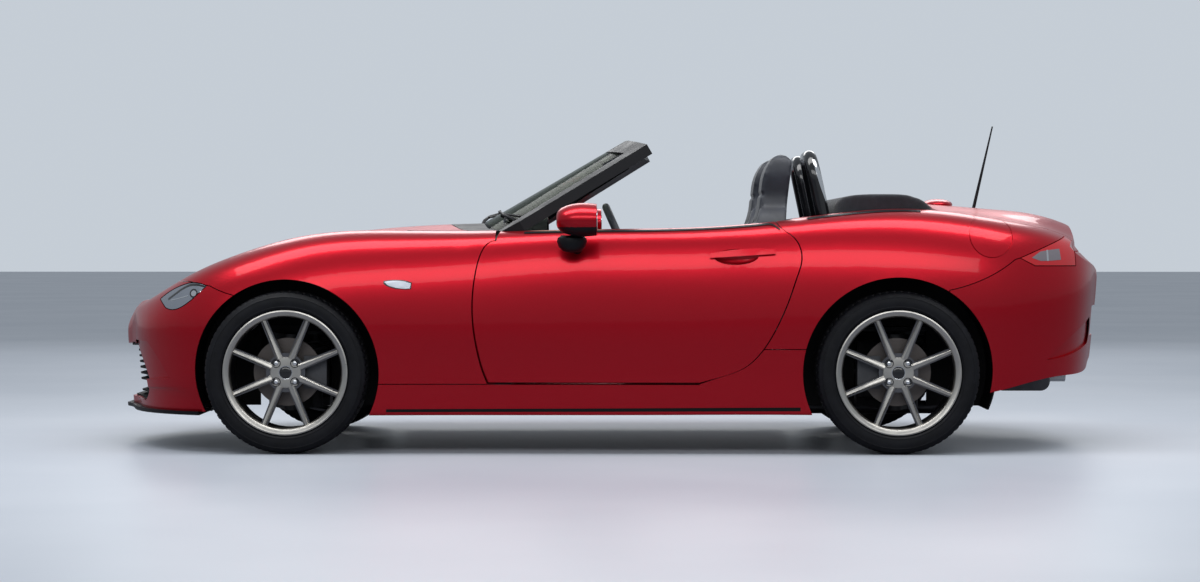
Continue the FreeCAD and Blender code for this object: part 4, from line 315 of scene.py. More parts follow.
NODE_FINISHES = (
    (PAINT, ("fender_l", "fender_r", "quarter_l", "quarter_r", "door_l", "door_r", "sills",
             "hood", "boot_lid", "front_bumper", "rear_bumper", "mirror_l", "mirror_r")),
    (SATIN_BLACK, ("windscreen_frame", "cowl", "antenna", "undertray")),
    (GLOSS_BLACK, ("roll_hoops",)),
    (ROUGH_BLACK, ("arch_liners", "grille")),
    (CABIN_PLASTIC, ("dashboard", "console", "rear_bulkhead")),
    (CARPET, ("floor_pan",)),
    (LEATHER, ("seat_l", "seat_r", "steering_wheel")),
    (ROOF_CLOTH, ("soft_top",)),
    (CHASSIS, ("firewall", "boot_tub", "front_frame", "front_axle", "rear_axle")),
    (CAST_IRON, ("knuckle_l", "knuckle_r", "rear_uprights", "engine_block")),
    (CAST_ALLOY, ("gearbox", "differential")),
    (PIPE_STEEL, ("exhaust",)),
    (PANE, ("windscreen_glass",)),
    (LAMP_SILVER, ("headlamps",)),
    (LAMP_RED, ("tail_lamps",)),
)


def dress(obj, material):
    """Give a piece one material."""
    obj.data.materials.clear()
    obj.data.materials.append(material)


def finish_nodes():
    """Each CAD node gets the finish of the real piece."""
    for material, names in NODE_FINISHES:
        for name in names:
            dress(NODES[name], material)
    for corner, centre in WHEELS.items():
        dress(NODES["wheel_" + corner], WHEEL_ALLOY)
        dress(NODES["tyre_" + corner], TYRE)
        dress(NODES["disc_" + corner], disc_finish("disc_steel_" + corner, centre))


# Ways to make a piece


WELD = 0.00001
SHARP = 40
SOFT_SHARP = 70
SOFT_MESH = 7
RELAX_ROUNDS = 8
CORNER_CUT = 0.25
RIBBON_DEPTH = 3.0
ROUND_STEPS = 18
OFF_AXIS = Vector((0.13, 0.37, 0.92)).normalized()
ASIDE = 3
AHEAD = 4
VIEWS = {
    "left": (lambda a, b: Vector((a, -ASIDE, b)), Vector((0, 1, 0))),
    "right": (lambda a, b: Vector((a, ASIDE, b)), Vector((0, -1, 0))),
    "front": (lambda a, b: Vector((-AHEAD, a, b)), Vector((1, 0, 0))),
    "rear": (lambda a, b: Vector((AHEAD, a, b)), Vector((-1, 0, 0))),
}


def mm(along, across, up):
    """Place given in millimetres."""
    return Vector((along * MM, across * MM, up * MM))


def beside(side, place):
    """Place of the right half, in millimetres, taken to a side of the car."""
    return (place[0], side * place[1], place[2])


def settle(name, mesh, material, body="body", sharp=SHARP):
    """Object for a finished mesh, smooth but for its edges, dressed and on its body."""
    mesh.polygons.foreach_set("use_smooth", [True] * len(mesh.polygons))
    mesh.set_sharp_from_angle(angle=math.radians(sharp))
    obj = bpy.data.objects.new(name, mesh)
    bpy.context.scene.collection.objects.link(obj)
    dress(obj, material)
    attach(obj, body)
    return obj


def piece(name, points, faces, material, body="body", sharp=SHARP):
    """Mesh piece in the row frame that rides a body."""
    mesh = bpy.data.meshes.new(name)
    mesh.from_pydata(points, [], faces)
    work = bmesh.new()
    work.from_mesh(mesh)
    bmesh.ops.remove_doubles(work, verts=work.verts, dist=WELD)
    bmesh.ops.recalc_face_normals(work, faces=work.faces)
    work.to_mesh(mesh)
    work.free()
    return settle(name, mesh, material, body, sharp)


def quads(rows, wide, base=0, ring=False):
    """Faces of a grid of points, row after row; in a ring the last column joins the first."""
    faces = []
    for start in range(base, base + (rows - 1) * wide, wide):
        for column in range(wide if ring else wide - 1):
            after = (column + 1) % wide
            faces.append((start + column, start + after, start + wide + after,
                          start + wide + column))
    return faces


def plate(name, rows, back, material, body="body"):
    """Thin solid piece: a grid of points on a skin, and the same grid pushed back."""
    tall = len(rows)
    wide = len(rows[0])
    front = [point for row in rows for point in row]
    count = len(front)
    faces = []
    for quad in quads(tall, wide):
        faces += [quad, tuple(count + k for k in reversed(quad))]
    rim = list(range(wide))
    rim += [i * wide + wide - 1 for i in range(1, tall)]
    rim += [(tall - 1) * wide + j for j in range(wide - 2, -1, -1)]
    rim += [i * wide for i in range(tall - 2, 0, -1)]
    for first, second in zip(rim, rim[1:] + rim[:1]):
        faces.append((second, first, first + count, second + count))
    return piece(name, front + [point + back for point in front], faces, material, body)


def skin(*names):
    """The named CAD nodes as one tree for rays to meet."""
    points = []
    faces = []
    for name in names:
        base = len(points)
        points += [vertex.co.copy() for vertex in NODES[name].data.vertices]
        faces += [[base + k for k in face.vertices] for face in NODES[name].data.polygons]
    return BVHTree.FromPolygons(points, faces)


def between(first, second, share):
    """Place a share of the way from one place to another."""
    return tuple(a + (b - a) * share for a, b in zip(first, second))


def spaced(line, count):
    """Points evenly spaced along a line of pairs."""
    runs = [math.dist(first, second) for first, second in zip(line, line[1:])]
    whole = sum(runs)
    found = []
    for step in range(count + 1):
        left = whole * step / count
        index = 0
        while index < len(runs) - 1 and left > runs[index]:
            left -= runs[index]
            index += 1
        found.append(between(line[index], line[index + 1], min(left / runs[index], 1)))
    return found


def rounded(line, rounds=2):
    """The line with its corners cut smooth, its ends kept."""
    for _ in range(rounds):
        cut = [line[0]]
        for first, second in zip(line, line[1:]):
            cut += [between(first, second, CORNER_CUT), between(first, second, 1 - CORNER_CUT)]
        line = cut + [line[-1]]
    return line


def bent(points):
    """Smooth line through mm places: corners cut, ends kept."""
    return [mm(*point) for point in rounded(points, rounds=3)]


def ribbon(name, lines, tree, material, view, body="body", lift=1.0, columns=36, rows=4,
           rise=0.0):
    """Piece between a low and a high line, in mm as the view sees them, laid on a skin."""
    start, way = VIEWS[view]
    low, high = (spaced(line, columns) for line in lines)
    grid = []
    reach = None
    for i in range(rows + 1):
        row = []
        for first, second in zip(low, high):
            across, up = between(first, second, i / rows)
            place = start(across * MM, up * MM)
            hit = tree.ray_cast(place, way)
            if hit[0] is not None:
                reach = hit[3]
            if reach is None:
                reach = (tree.find_nearest(place)[0] - place).dot(way)
            row.append(place + way * (reach - lift * MM) + mm(0, 0, rise))
        grid.append(row)
    return plate(name, grid, way * (lift + RIBBON_DEPTH) * MM, material, body)


def oval(across, up, wide, tall):
    """Lower and upper lines of an oval patch, from its middle and half sizes."""
    turns = [math.pi * step / ROUND_STEPS for step in range(ROUND_STEPS + 1)]
    return [[(across - wide * math.cos(turn), up + way * tall * math.sin(turn)) for turn in turns]
            for way in (-1, 1)]


def turned(name, profile, place, axis, material, body="body", steps=48, closed=False, change=None):
    """Piece turned about an axis from (radius, height) points in mm."""
    turn = Vector(axis).to_track_quat("Z", "Y")
    points = []
    for step in range(steps):
        angle = 2 * math.pi * step / steps
        for index, (radius, height) in enumerate(profile):
            if change:
                radius += change(step, index)
            points.append(place + turn @ mm(radius * math.cos(angle), radius * math.sin(angle),
                                            height))
    wide = len(profile)
    faces = []
    for step in range(steps):
        after = (step + 1) % steps
        for index in range(wide if closed else wide - 1):
            follow = (index + 1) % wide
            faces.append((step * wide + index, after * wide + index,
                          after * wide + follow, step * wide + follow))
    return piece(name, points, faces, material, body)


def tube(name, points, radius, material, body="body", sides=10):
    """Round bar along points, its radius in mm, one for each point or one for all."""
    radii = radius if isinstance(radius, (list, tuple)) else [radius] * len(points)
    ring = []
    for index, point in enumerate(points):
        way = points[min(index + 1, len(points) - 1)] - points[max(index - 1, 0)]
        side = way.cross(OFF_AXIS).normalized()
        lift = side.cross(way).normalized()
        for step in range(sides):
            angle = 2 * math.pi * step / sides
            ring.append(point + (side * math.cos(angle) + lift * math.sin(angle))
                        * radii[index] * MM)
    ends = [tuple(range(sides)), tuple(range(len(ring) - sides, len(ring)))]
    return piece(name, ring, ends + quads(len(points), sides, ring=True), material, body)


def block(name, centre, size, material, body="body", tilt=0, edge=6):
    """Rounded block in mm, leaned about Y by tilt degrees."""
    work = bmesh.new()
    bmesh.ops.create_cube(work, size=1)
    for vertex in work.verts:
        vertex.co *= Vector(size)
    bmesh.ops.bevel(work, geom=work.edges[:], offset=edge, segments=3, affect="EDGES")
    lean = Matrix.Rotation(math.radians(tilt), 4, "Y")
    for vertex in work.verts:
        vertex.co = (lean @ vertex.co + Vector(centre)) * MM
    mesh = bpy.data.meshes.new(name)
    work.to_mesh(mesh)
    work.free()
    return settle(name, mesh, material, body)


def layer(name, node, test, lift, material, body="body"):
    """Thin layer over the faces of a CAD node that pass a test."""
    work = bmesh.new()
    work.from_mesh(NODES[node].data)
    bmesh.ops.remove_doubles(work, verts=work.verts, dist=WELD)
    drop = [face for face in work.faces if not test(face.calc_center_median() / MM, face.normal)]
    bmesh.ops.delete(work, geom=drop, context="FACES")
    work.normal_update()
    for vertex in work.verts:
        vertex.co += vertex.normal * lift * MM
    mesh = bpy.data.meshes.new(name)
    work.to_mesh(mesh)
    work.free()
    return settle(name, mesh, material, body)


def shaped(name, node, move, material):
    """Soft CAD piece made anew: fine mesh, relaxed, then each point moved out along its normal."""
    work = bpy.data.objects.new(name + "_work", NODES[node].data.copy())
    bpy.context.scene.collection.objects.link(work)
    remesh = work.modifiers.new("fine", "REMESH")
    remesh.mode = "VOXEL"
    remesh.voxel_size = SOFT_MESH * MM
    relax = work.modifiers.new("relax", "SMOOTH")
    relax.factor = 0.5
    relax.iterations = RELAX_ROUNDS
    graph = bpy.context.evaluated_depsgraph_get()
    mesh = bpy.data.meshes.new_from_object(work.evaluated_get(graph))
    bpy.data.objects.remove(work)
    shifts = [vertex.normal * move(vertex.co / MM, vertex.normal) * MM for vertex in mesh.vertices]
    for vertex, shift in zip(mesh.vertices, shifts):
        vertex.co += shift
    mesh.name = name
    obj = settle(name, mesh, material, sharp=SOFT_SHARP)
    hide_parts(node)
    return obj


# Places read in the 1200 pixel wide frame, in millimetres a pixel at the near side and the tail


CAMERA_PLACE = (64.5, -11388, 808.5)
FRAME_MIDDLE = (628, 240)
NEAR_SCALE = 3.757
TAIL_SCALE = 3.79


def seen(spot, scale=NEAR_SCALE):
    """Place along and up the car, in mm, of a spot in the frame."""
    return (CAMERA_PLACE[0] + (spot[0] - FRAME_MIDDLE[0]) * scale,
            CAMERA_PLACE[2] + (FRAME_MIDDLE[1] - spot[1]) * scale)


def seen_lines(pair, scale=NEAR_SCALE):
    """The low and the high line through such spots."""
    return [[seen(spot, scale) for spot in spots] for spots in pair]


def smooth(pair):
    """A low and a high line with their corners cut."""
    return [rounded(line) for line in pair]


# Tyres, wheels and springs. Profiles are (radius, across) pairs


TREAD_BLOCKS = 70
BLOCK_STEPS = 5
BLOCK_CUT = 5.5
RIB_CUT = 2.0
RIB_CUT_STEP = 2
TREAD = 307.8
GROOVE_FLOOR = 301
TREAD_LAND = 301.5
SHOULDER = 306.2
SHOULDER_OUT = 74
GROOVES = (-52, -18, 18, 52)
GROOVE_TOP = 5
GROOVE_FOOT = 3.6
BLOCK_FROM = 56
RIB_FROM = 12
RIB_TO = 48
TYRE_WALL = [(226, 86), (238, 88), (240.5, 96.5), (246, 100), (247, 101.6), (250, 101.8),
             (251, 101), (262, 102.4), (274, 102), (283, 100.4), (284, 101.3), (286, 101),
             (287, 99.3), (295, 95.5), (301, 90), (304.5, 84)]
CAP = [(0, 80), (12, 79.6), (20, 78), (23.5, 75.5), (24, 72)]
CAP_RING = [(23.5, 72), (23.5, 78), (25, 79.2), (27, 78), (27.5, 72)]
HUB_FACE = [(26, 74), (26, 79.2), (44, 79.6), (57, 78), (60, 74)]
LUG_SEAT = [(0, 78.4), (14, 79.4), (16.5, 81), (17.5, 80.4), (18, 74)]
NUT = [(0, 84), (5, 84), (8, 82.5), (9, 81), (9, 74)]
RIM_FACE = [(235.8, 92), (235.5, 97.5), (231, 99), (217, 93), (211, 84), (209, 70), (215, 70),
            (222, 90)]
# The hub face takes the lighter wheel alloy, a painted highlight.
CENTRE_TRIM = (("cap_", CAP, GLOSS_BLACK, 40), ("cap_ring_", CAP_RING, CHROME, 40),
               ("hub_face_", HUB_FACE, WHEEL_HIGHLIGHT, 64))
LUG_TRIM = (("lug_seat", LUG_SEAT, GLOSS_BLACK, 28), ("nut", NUT, CHROME, 6))
LUGS = 4
LUG_CIRCLE = 50
SPOKES = 8
# Across the spoke as a share of its half width, and out from the wheel's middle
SPOKE_SECTION = ((-1.0, 76.2), (-0.75, 79.5), (-0.1, 80.5), (0.35, 83.5), (0.8, 80), (1.0, 76.2))
# Radius, half width and rise
SPOKE_STATIONS = ((56, 13.5, 0), (84, 11.5, 0), (120, 10, 0), (168, 8.8, 0), (216, 8, 4))
SPOKE_SHARP = 25
SPRING_BEHIND = 76
SPRING_OUT = 500
SPRING_LOW = 243
SPRING_HIGH = 437
SPRING_TURNS = 6.5
SPRING_RADIUS = 50
WIRE_RADIUS = 6
STEPS_A_TURN = 22


def tyre_outline():
    """Points of the tyre's section, and the numbers of its block points and rib points."""
    crown = [(SHOULDER, -SHOULDER_OUT)]
    for middle in GROOVES:
        crown += [(TREAD, middle - GROOVE_TOP), (GROOVE_FLOOR, middle - GROOVE_FOOT),
                  (GROOVE_FLOOR, middle + GROOVE_FOOT), (TREAD, middle + GROOVE_TOP)]
    crown.append((SHOULDER, SHOULDER_OUT))
    outline = [(radius, -across) for radius, across in TYRE_WALL] + crown + TYRE_WALL[::-1]
    lands = [(index, abs(across)) for index, (radius, across) in enumerate(outline)
             if radius > TREAD_LAND]
    blocks = {index for index, across in lands if across > BLOCK_FROM}
    ribs = {index for index, across in lands if RIB_FROM < across < RIB_TO}
    return outline, blocks, ribs


def make_tyre(corner, centre):
    """Tyre with grooved, blocked tread and moulded rings on its walls."""
    outline, blocks, ribs = tyre_outline()

    def cut(step, index):
        place = step % BLOCK_STEPS
        if index in blocks and place == 0:
            return -BLOCK_CUT
        if index in ribs and place == RIB_CUT_STEP:
            return -RIB_CUT
        return 0

    tyre = turned("tread_tyre_" + corner, outline, centre, (0, 1, 0), TYRE,
                  "road_wheel_" + corner, TREAD_BLOCKS * BLOCK_STEPS, closed=True, change=cut)
    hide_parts("tyre_" + corner)


def make_wheel_trim(corner, centre):
    """Blank centre cap, dark lug seats and four nuts."""
    body = "road_wheel_" + corner
    axis = (0, outward(corner), 0)
    for name, profile, material, steps in CENTRE_TRIM:
        turned(name + corner, profile, centre, axis, material, body, steps)
    for index in range(LUGS):
        angle = 2 * math.pi * (index + 0.5) / LUGS
        place = centre + mm(LUG_CIRCLE * math.cos(angle), 0, LUG_CIRCLE * math.sin(angle))
        for name, profile, material, steps in LUG_TRIM:
            turned("%s_%s%d" % (name, corner, index), profile, place, axis, material, body, steps)


def make_wheel_highlight_faces(corner, centre):
    """Faces in a lighter copy of the wheel alloy, a painted highlight: the rim's flange and a
    ridge along each spoke.
    """
    side = outward(corner)
    body = "road_wheel_" + corner
    turned("rim_face_" + corner, RIM_FACE, centre, (0, side, 0), WHEEL_HIGHLIGHT, body, steps=96,
           closed=True)
    points = []
    faces = []
    wide = len(SPOKE_SECTION)
    for spoke in range(SPOKES):
        angle = 2 * math.pi * (spoke + 0.5) / SPOKES
        base = len(points)
        for radius, half, rise in SPOKE_STATIONS:
            for share, height in SPOKE_SECTION:
                across = share * half
                points.append(centre + mm(radius * math.cos(angle) - across * math.sin(angle),
                                          side * (height + rise),
                                          radius * math.sin(angle) + across * math.cos(angle)))
        faces += quads(len(SPOKE_STATIONS), wide, base, ring=True)
        faces.append(tuple(range(base, base + wide)))
        faces.append(tuple(len(points) - 1 - column for column in range(wide)))
    piece("spoke_faces_" + corner, points, faces, WHEEL_HIGHLIGHT, body, SPOKE_SHARP)


def make_spring(name, along, across):
    """Coil spring round a damper."""
    steps = int(SPRING_TURNS * STEPS_A_TURN)
    points = []
    for step in range(steps + 1):
        angle = 2 * math.pi * SPRING_TURNS * step / steps
        rise = SPRING_LOW + (SPRING_HIGH - SPRING_LOW) * step / steps
        points.append(mm(along + SPRING_RADIUS * math.cos(angle),
                         across + SPRING_RADIUS * math.sin(angle), rise))
    tube(name, points, WIRE_RADIUS, CHASSIS, sides=8)


def make_running_gear():
    """Tyres, wheel trim and springs at the four corners."""
    for corner, centre in WHEELS.items():
        make_tyre(corner, centre)
        make_wheel_trim(corner, centre)
        make_wheel_highlight_faces(corner, centre)
        make_spring("spring_" + corner, centre.x / MM + SPRING_BEHIND,
                    outward(corner) * SPRING_OUT)


# Outside trim. Pairs of lines are the low and the high edge of a piece


BELT_RUNS = (("door", -330, 640), ("quarter", 745, 1180))
BELT_BAND = (12, 5)
BELT_STEPS = 30
TOP_BETWEEN = (700, 1000)
TOP_WITHIN = 0.5
SILL_STRIP = ([(-850, 157), (715, 163)], [(-850, 168), (715, 177)])
LAMP_BORDER = ([(159, 301.5), (179.5, 287.2), (192, 286), (204, 289)],
               [(158.4, 299.5), (179.5, 284.7), (192.1, 283.7), (205, 286.8)])
LAMP_ROUNDS = (("barrel", (188.5, 294), (17, 17), GLOSS_BLACK, 1.0),
               ("eye", (188.5, 294), (11, 11), CHROME, 1.8),
               ("side_light", (197.5, 292.5), (10, 7), CHROME, 1.2))
LAMP_RIB = ([(162, 301.8), (173, 299.5), (182, 297)], [(162, 301), (173, 298.6), (182, 296)])
TAIL_CENTRE = ([(1033, 258), (1042, 261), (1054, 260.8), (1065, 260)],
               [(1033, 257.6), (1042, 251.6), (1054, 249.8), (1064, 248.8)])
TAIL_BAR = ([(1049, 261), (1051, 261)], [(1049, 250), (1051, 250)])
SIDE_LAMP = ([(-852, 647), (-835, 634), (-790, 624), (-757, 626)],
             [(-852, 651), (-830, 655), (-785, 655), (-754, 645)])
SIDE_LAMP_MIDDLE = -800
SIDE_RIM_AHEAD = 5
SIDE_RIM_BEHIND = 4
SIDE_RIM_OVER = 3
MIRROR_OUT = 907
MIRROR_UP = 884
MIRROR_FACES = (("rim", (74, 46), SATIN_BLACK, 1.0), ("glass", (68, 41), MIRROR_GLASS, 2.0))
MIRROR_FOOT_TOP = 856
FOOT_LIFT = 0.6
MIRROR_BASE = [(0, 826), (40, 826), (54, 816), (57, 804), (50, 782), (34, 766), (0, 760)]
MIRROR_BASE_PLACE = (-146, 858, 0)
WIPERS = (("left", -585, -60), ("right", -10, 500))
WIPER_LOW = 893
WIPER_RISE = 26
WIPER_STEPS = 20
BLADE_OFF = (-9, 0, 6)
BLADE_RADIUS = 4.5
ARM_FOOT = (-28, 18, -34)
ARM_ELBOW = (6, 40, 22)
ARM_BOW = (-10, 0, 12)
ARM_END = (-10, 0, 8)
ARM_RADII = [9, 7, 5.5, 4.5]
# Blocks are a middle and a size
INNER_MIRROR = ((-18, 0, 1082), (26, 215, 58))
INNER_GLASS = ((-4, 0, 1079), (4, 196, 46))
INNER_STEM = [(-24, 0, 1098), (-40, 0, 1122), (-60, 0, 1137)]
STEM_RADIUS = 7
VISOR = ((8, 285, 1120), (104, 330, 13))
HOOP_BLADE = ([(778, 1120), (798, 1040), (831, 950)], [(791, 1120), (819, 1040), (833, 950)])
PIPE_TIP = 75
TIP_LIFT = 0.4
HIGH_LAMP = ([(-78, 958), (0, 960), (78, 958)], [(-70, 965), (0, 968), (70, 965)])


def top_of(tree, along, view):
    """Highest place, in mm, at which the view still meets the skin."""
    start, way = VIEWS[view]
    low, high = TOP_BETWEEN
    while high - low > TOP_WITHIN:
        middle = (low + high) / 2
        if tree.ray_cast(start(along * MM, middle * MM), way)[0] is None:
            high = middle
        else:
            low = middle
    return low


def make_belt():
    """Dark satin strips along the tops of the doors and of the rear panels beside the roof."""
    for tag, _, view in SIDES:
        for node, first, last in BELT_RUNS:
            tree = skin("%s_%s" % (node, tag))
            part, body = ("door", DOOR_BODY[tag]) if node == "door" else ("rear", "body")
            stations = [first + (last - first) * step / BELT_STEPS
                        for step in range(BELT_STEPS + 1)]
            tops = [(along, top_of(tree, along, view)) for along in stations]
            lines = [[(along, top - drop) for along, top in tops] for drop in BELT_BAND]
            ribbon("belt_%s_%s" % (part, tag), lines, tree, SATIN_BLACK, view, body, lift=1.5,
                   columns=60, rows=3, rise=1.8)


def make_sill_strips():
    """Black strip along the foot of each sill."""
    tree = skin("sills")
    for tag, _, view in SIDES:
        ribbon("sill_strip_" + tag, SILL_STRIP, tree, ROUGH_BLACK, view, lift=1.5, columns=60,
               rows=3)


def make_side_lamp(tag, view):
    """Side lamp in its dark rim, on a fender."""
    fender = skin("fender_" + tag)
    lines = smooth(SIDE_LAMP)
    rim = [[(x - SIDE_RIM_AHEAD if x < SIDE_LAMP_MIDDLE else x + SIDE_RIM_BEHIND, z + over)
            for x, z in line] for line, over in zip(lines, (-SIDE_RIM_OVER, SIDE_RIM_OVER))]
    ribbon("side_lamp_rim_" + tag, rim, fender, GLOSS_BLACK, view, columns=24, rows=8)
    ribbon("side_lamp_" + tag, lines, fender, LAMP_SILVER, view, lift=2.0, columns=24, rows=8)


def make_lamps():
    """What shows inside the head, tail and side lamps."""
    front = skin("headlamps")
    rear = skin("tail_lamps")
    for tag, _, view in SIDES:
        ribbon("lamp_border_" + tag, smooth(seen_lines(LAMP_BORDER)), front, GLOSS_BLACK, view,
               lift=0.8)
        for part, spot, size, material, lift in LAMP_ROUNDS:
            ribbon("lamp_%s_%s" % (part, tag), oval(*seen(spot), *size), front, material, view,
                   lift=lift, columns=24, rows=12)
        ribbon("lamp_rib_" + tag, smooth(seen_lines(LAMP_RIB)), front, CHROME, view)
        ribbon("tail_centre_" + tag, seen_lines(TAIL_CENTRE, TAIL_SCALE), rear, LAMP_GREY, view,
               lift=0.8)
        ribbon("tail_bar_" + tag, seen_lines(TAIL_BAR, TAIL_SCALE), rear, CHROME, view, lift=1.6,
               columns=6, rows=8)
        make_side_lamp(tag, view)


def make_mirrors():
    """Mirror glass in its dark rim, and the dark foot and base of the housing."""
    for tag, side, _ in SIDES:
        node = "mirror_" + tag
        body = DOOR_BODY[tag]
        tree = skin(node)
        for part, size, material, lift in MIRROR_FACES:
            ribbon("mirror_%s_%s" % (part, tag), oval(side * MIRROR_OUT, MIRROR_UP, *size), tree,
                   material, "rear", body, lift, columns=28, rows=16)
        layer("mirror_foot_" + tag, node, lambda at, normal: at.z < MIRROR_FOOT_TOP,
              FOOT_LIFT, SATIN_BLACK, body)
        turned("mirror_base_" + tag, MIRROR_BASE, mm(*beside(side, MIRROR_BASE_PLACE)), UP,
               SATIN_BLACK, body)


def make_wipers():
    """Wiper blades along the foot of the glass, each on its arm."""
    tree = skin("windscreen_glass")
    start, way = VIEWS["front"]
    for name, first, last in WIPERS:
        blade = []
        for step in range(WIPER_STEPS + 1):
            across = first + (last - first) * step / WIPER_STEPS
            up = WIPER_LOW + WIPER_RISE * step / WIPER_STEPS
            hit = tree.ray_cast(start(across * MM, up * MM), way)[0]
            if hit is not None:
                blade.append(hit + mm(*BLADE_OFF))
        tube("wiper_blade_" + name, blade, BLADE_RADIUS, ROUGH_BLACK)
        foot = blade[0] + mm(*ARM_FOOT)
        middle = blade[len(blade) // 2] + mm(*ARM_END)
        arm = [foot, foot + mm(*ARM_ELBOW), (foot + middle) / 2 + mm(*ARM_BOW), middle]
        tube("wiper_arm_" + name, arm, ARM_RADII, SATIN_BLACK)


def make_header_trim():
    """Inner mirror on its stem, and sun visors."""
    block("inner_mirror", *INNER_MIRROR, SATIN_BLACK, tilt=12, edge=9)
    block("inner_mirror_glass", *INNER_GLASS, MIRROR_GLASS, tilt=12, edge=1.5)
    tube("inner_mirror_stem", bent(INNER_STEM), STEM_RADIUS, SATIN_BLACK)
    for tag, side, _ in SIDES:
        visor = block("sun_visor_" + tag, beside(side, VISOR[0]), VISOR[1], CABIN_PLASTIC,
                      tilt=-30, edge=7)


def make_hoop_trim():
    """Bright blade on the outer leg of each outer hoop."""
    tree = skin("roll_hoops")
    for tag, _, view in SIDES:
        ribbon("hoop_blade_" + tag, smooth(HOOP_BLADE), tree, CHROME, view, lift=1.4, columns=40,
               rows=6)


def make_pipe_tips():
    """Bright finish on the ends of the exhaust."""
    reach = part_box("exhaust")[1].x / MM
    layer("pipe_tips", "exhaust", lambda at, normal: at.x > reach - PIPE_TIP, TIP_LIFT, CHROME)


def make_high_lamp():
    """Red strip in the rear face of the fin on the boot lid."""
    # The strip takes the tail lamp red with its faint painted glow.
    ribbon("high_lamp", smooth(HIGH_LAMP), skin("boot_lid"), LAMP_RED, "rear", "boot_panel",
           lift=0.8)


# Cabin


SEAT_MIDDLE = 370
CUSHION_TOP = 470
HEAD_SEAM = 985
INSERT_HALF = 132
BACK_CHANNELS = (610, 700, 790, 880)
CUSHION_CHANNELS = (190, 270, 350)
CROWN = 5
CHANNEL_DEPTH = 5
BOLSTER_SEAM_DEPTH = 8
SEAM_WIDTH = 6
HEAD_SEAM_DEPTH = 7
HEAD_SEAM_WIDTH = 7
# Least share of a face's normal that points ahead or up for the face to count as outside
BACK_FACES = 0.2
CUSHION_FACES = 0.4
ROOF_FACES = 0.5
# Place, depth and width
ROOF_SEAM = (1165, 1.5, 9)
ROOF_END_SEAM = (505, 3, 8)
BELT_END = ((770, 622, 760), (40, 16, 90))
COWL_STEPS = 24
COWL_EDGES = (-420, -330, -262, -250)
COWL_HALF = 165
COWL_LOW = 806
COWL_RISE = 92
COWL_SQUARENESS = 0.7
COWL_DEPTH = 9
DIALS = ((-370, 46), (-462, 34), (-278, 34))
DIAL_ALONG = -330
DIAL_UP = 838
DIAL_LEAN = (1, 0, 0.15)
# How much wider than the dial, and how far out
DIAL_FACE = 3
DIAL_RIM = ((-4, 3), (-4, 8), (0, 8), (1, 0))
DIAL_RING = ((-1, 8), (0, 10.5), (3, 9), (3, 0))
DIAL_PANEL = ((-342, -370, 835), (12, 300, 104))
FACE_LEAN = (1, 0, 0.1)
VENTS = (-628, -120, 120, 628)
VENT_UP = 772
VENT_BARS = 14
VENT_BAR_OUT = 2
VENT_BAR_DEPTH = 8
VENT_BAR_WIDTH = 52
VENT_BAR_HEIGHT = 4
VENT_RING = [(31, -6), (31, 7), (35, 10), (40, 7), (41, -6)]
VENT_CHROME = [(27, -2), (28, 6), (31, 6), (31.5, -2)]
DASH_FACE = -240
SCREEN = ((-272, 0, 868), (14, 190, 112))
SCREEN_FOOT = ((-290, 0, 826), (60, 120, 44))
KNOBS = (-60, 0, 60)
KNOB_UP = 668
KNOB = [(0, 18), (15, 18), (18, 14), (20, 0), (20, -6)]
KNOB_RING = [(20, -6), (20, 3), (23, 3), (24, -6)]
GLOVE_LID_UP = (640, 660, 680, 700, 720)
GLOVE_LID_ACROSS = range(230, 571, 20)
GLOVE_LID_OUT = 1.5
GLOVE_LID_DEPTH = 6
GEAR_ALONG = 95
GEAR_KNOB_ALONG = 93
GEAR_KNOB_UP = 545
GEAR_SHAFT_LOW = 505
GEAR_SHAFT_RADIUS = 7
GEAR_BOOT = [(58, 440), (52, 452), (40, 470), (41, 478), (27, 492), (28, 500), (17, 514),
             (13, 520)]
GEAR_KNOB = [(0, 40), (12, 38), (21, 30), (25, 18), (22, 4), (14, -6), (9, -10)]
GEAR_RING = [(58, 440), (60, 448), (66, 446), (68, 438)]
HANDBRAKE = [(345, 62, 438), (310, 62, 466), (205, 62, 484), (150, 62, 490)]
HANDBRAKE_RADIUS = 13
# Place across, then the pad's width and height
PEDALS = ((-300, 48, 120), (-375, 58, 74), (-470, 58, 74))
PEDAL_ALONG = -452
PEDAL_UP = 300
PEDAL_DEPTH = 10
PEDAL_ARM = ((-460, 318), (-500, 420), (-520, 560))
PEDAL_ARM_RADIUS = 8
WHEEL_PAD = [(0, 30), (30, 29), (52, 24), (64, 12), (67, -4), (60, -16)]
WHEEL_BLANK = [(0, 34), (15, 33.4), (20, 31), (22, 27)]
STALK_BACK = 85
STALK_OUT = (0, 30, 0)
STALK_REACH = (12, 125, 12)
STALK_BOW = 3
STALK_RADII = [6, 5.5, 8]
DOOR_PROBE = (150, 0, 560)
ARM_REST_ALONG = 190
ARM_REST_IN = 16
ARM_REST_UP = 585
ARM_REST_SIZE = (470, 44, 56)
# Along, in from the door's face and up
DOOR_PULL = ((-60, 4, 690), (-52, 34, 690), (70, 34, 694), (78, 4, 694))
PULL_RADIUS = 7
LINING_LIFT = 0.7
# Least share of a face's normal that points into the cabin for the face to be lined
DOOR_FACES = 0.45
SILL_FACES = 0.7
QUARTER_FACES = 0.5
DOOR_LINED_TO = 800
SILL_LINED_FROM = 172
QUARTER_LINED_FROM = 300
QUARTER_LINED_TO = 1240
MAT_STEPS = 8
MAT_PROBE = 400
MAT_FROM = (-500, 175)
MAT_SIZE = (480, 410)
MAT_UP = 7
MAT_DEPTH = 5
FLOOR_UP = 172


def groove(distance, width):
    """How deep a seam is this far from its line, from 0 to 1."""
    return math.exp(-(distance / width) ** 2)


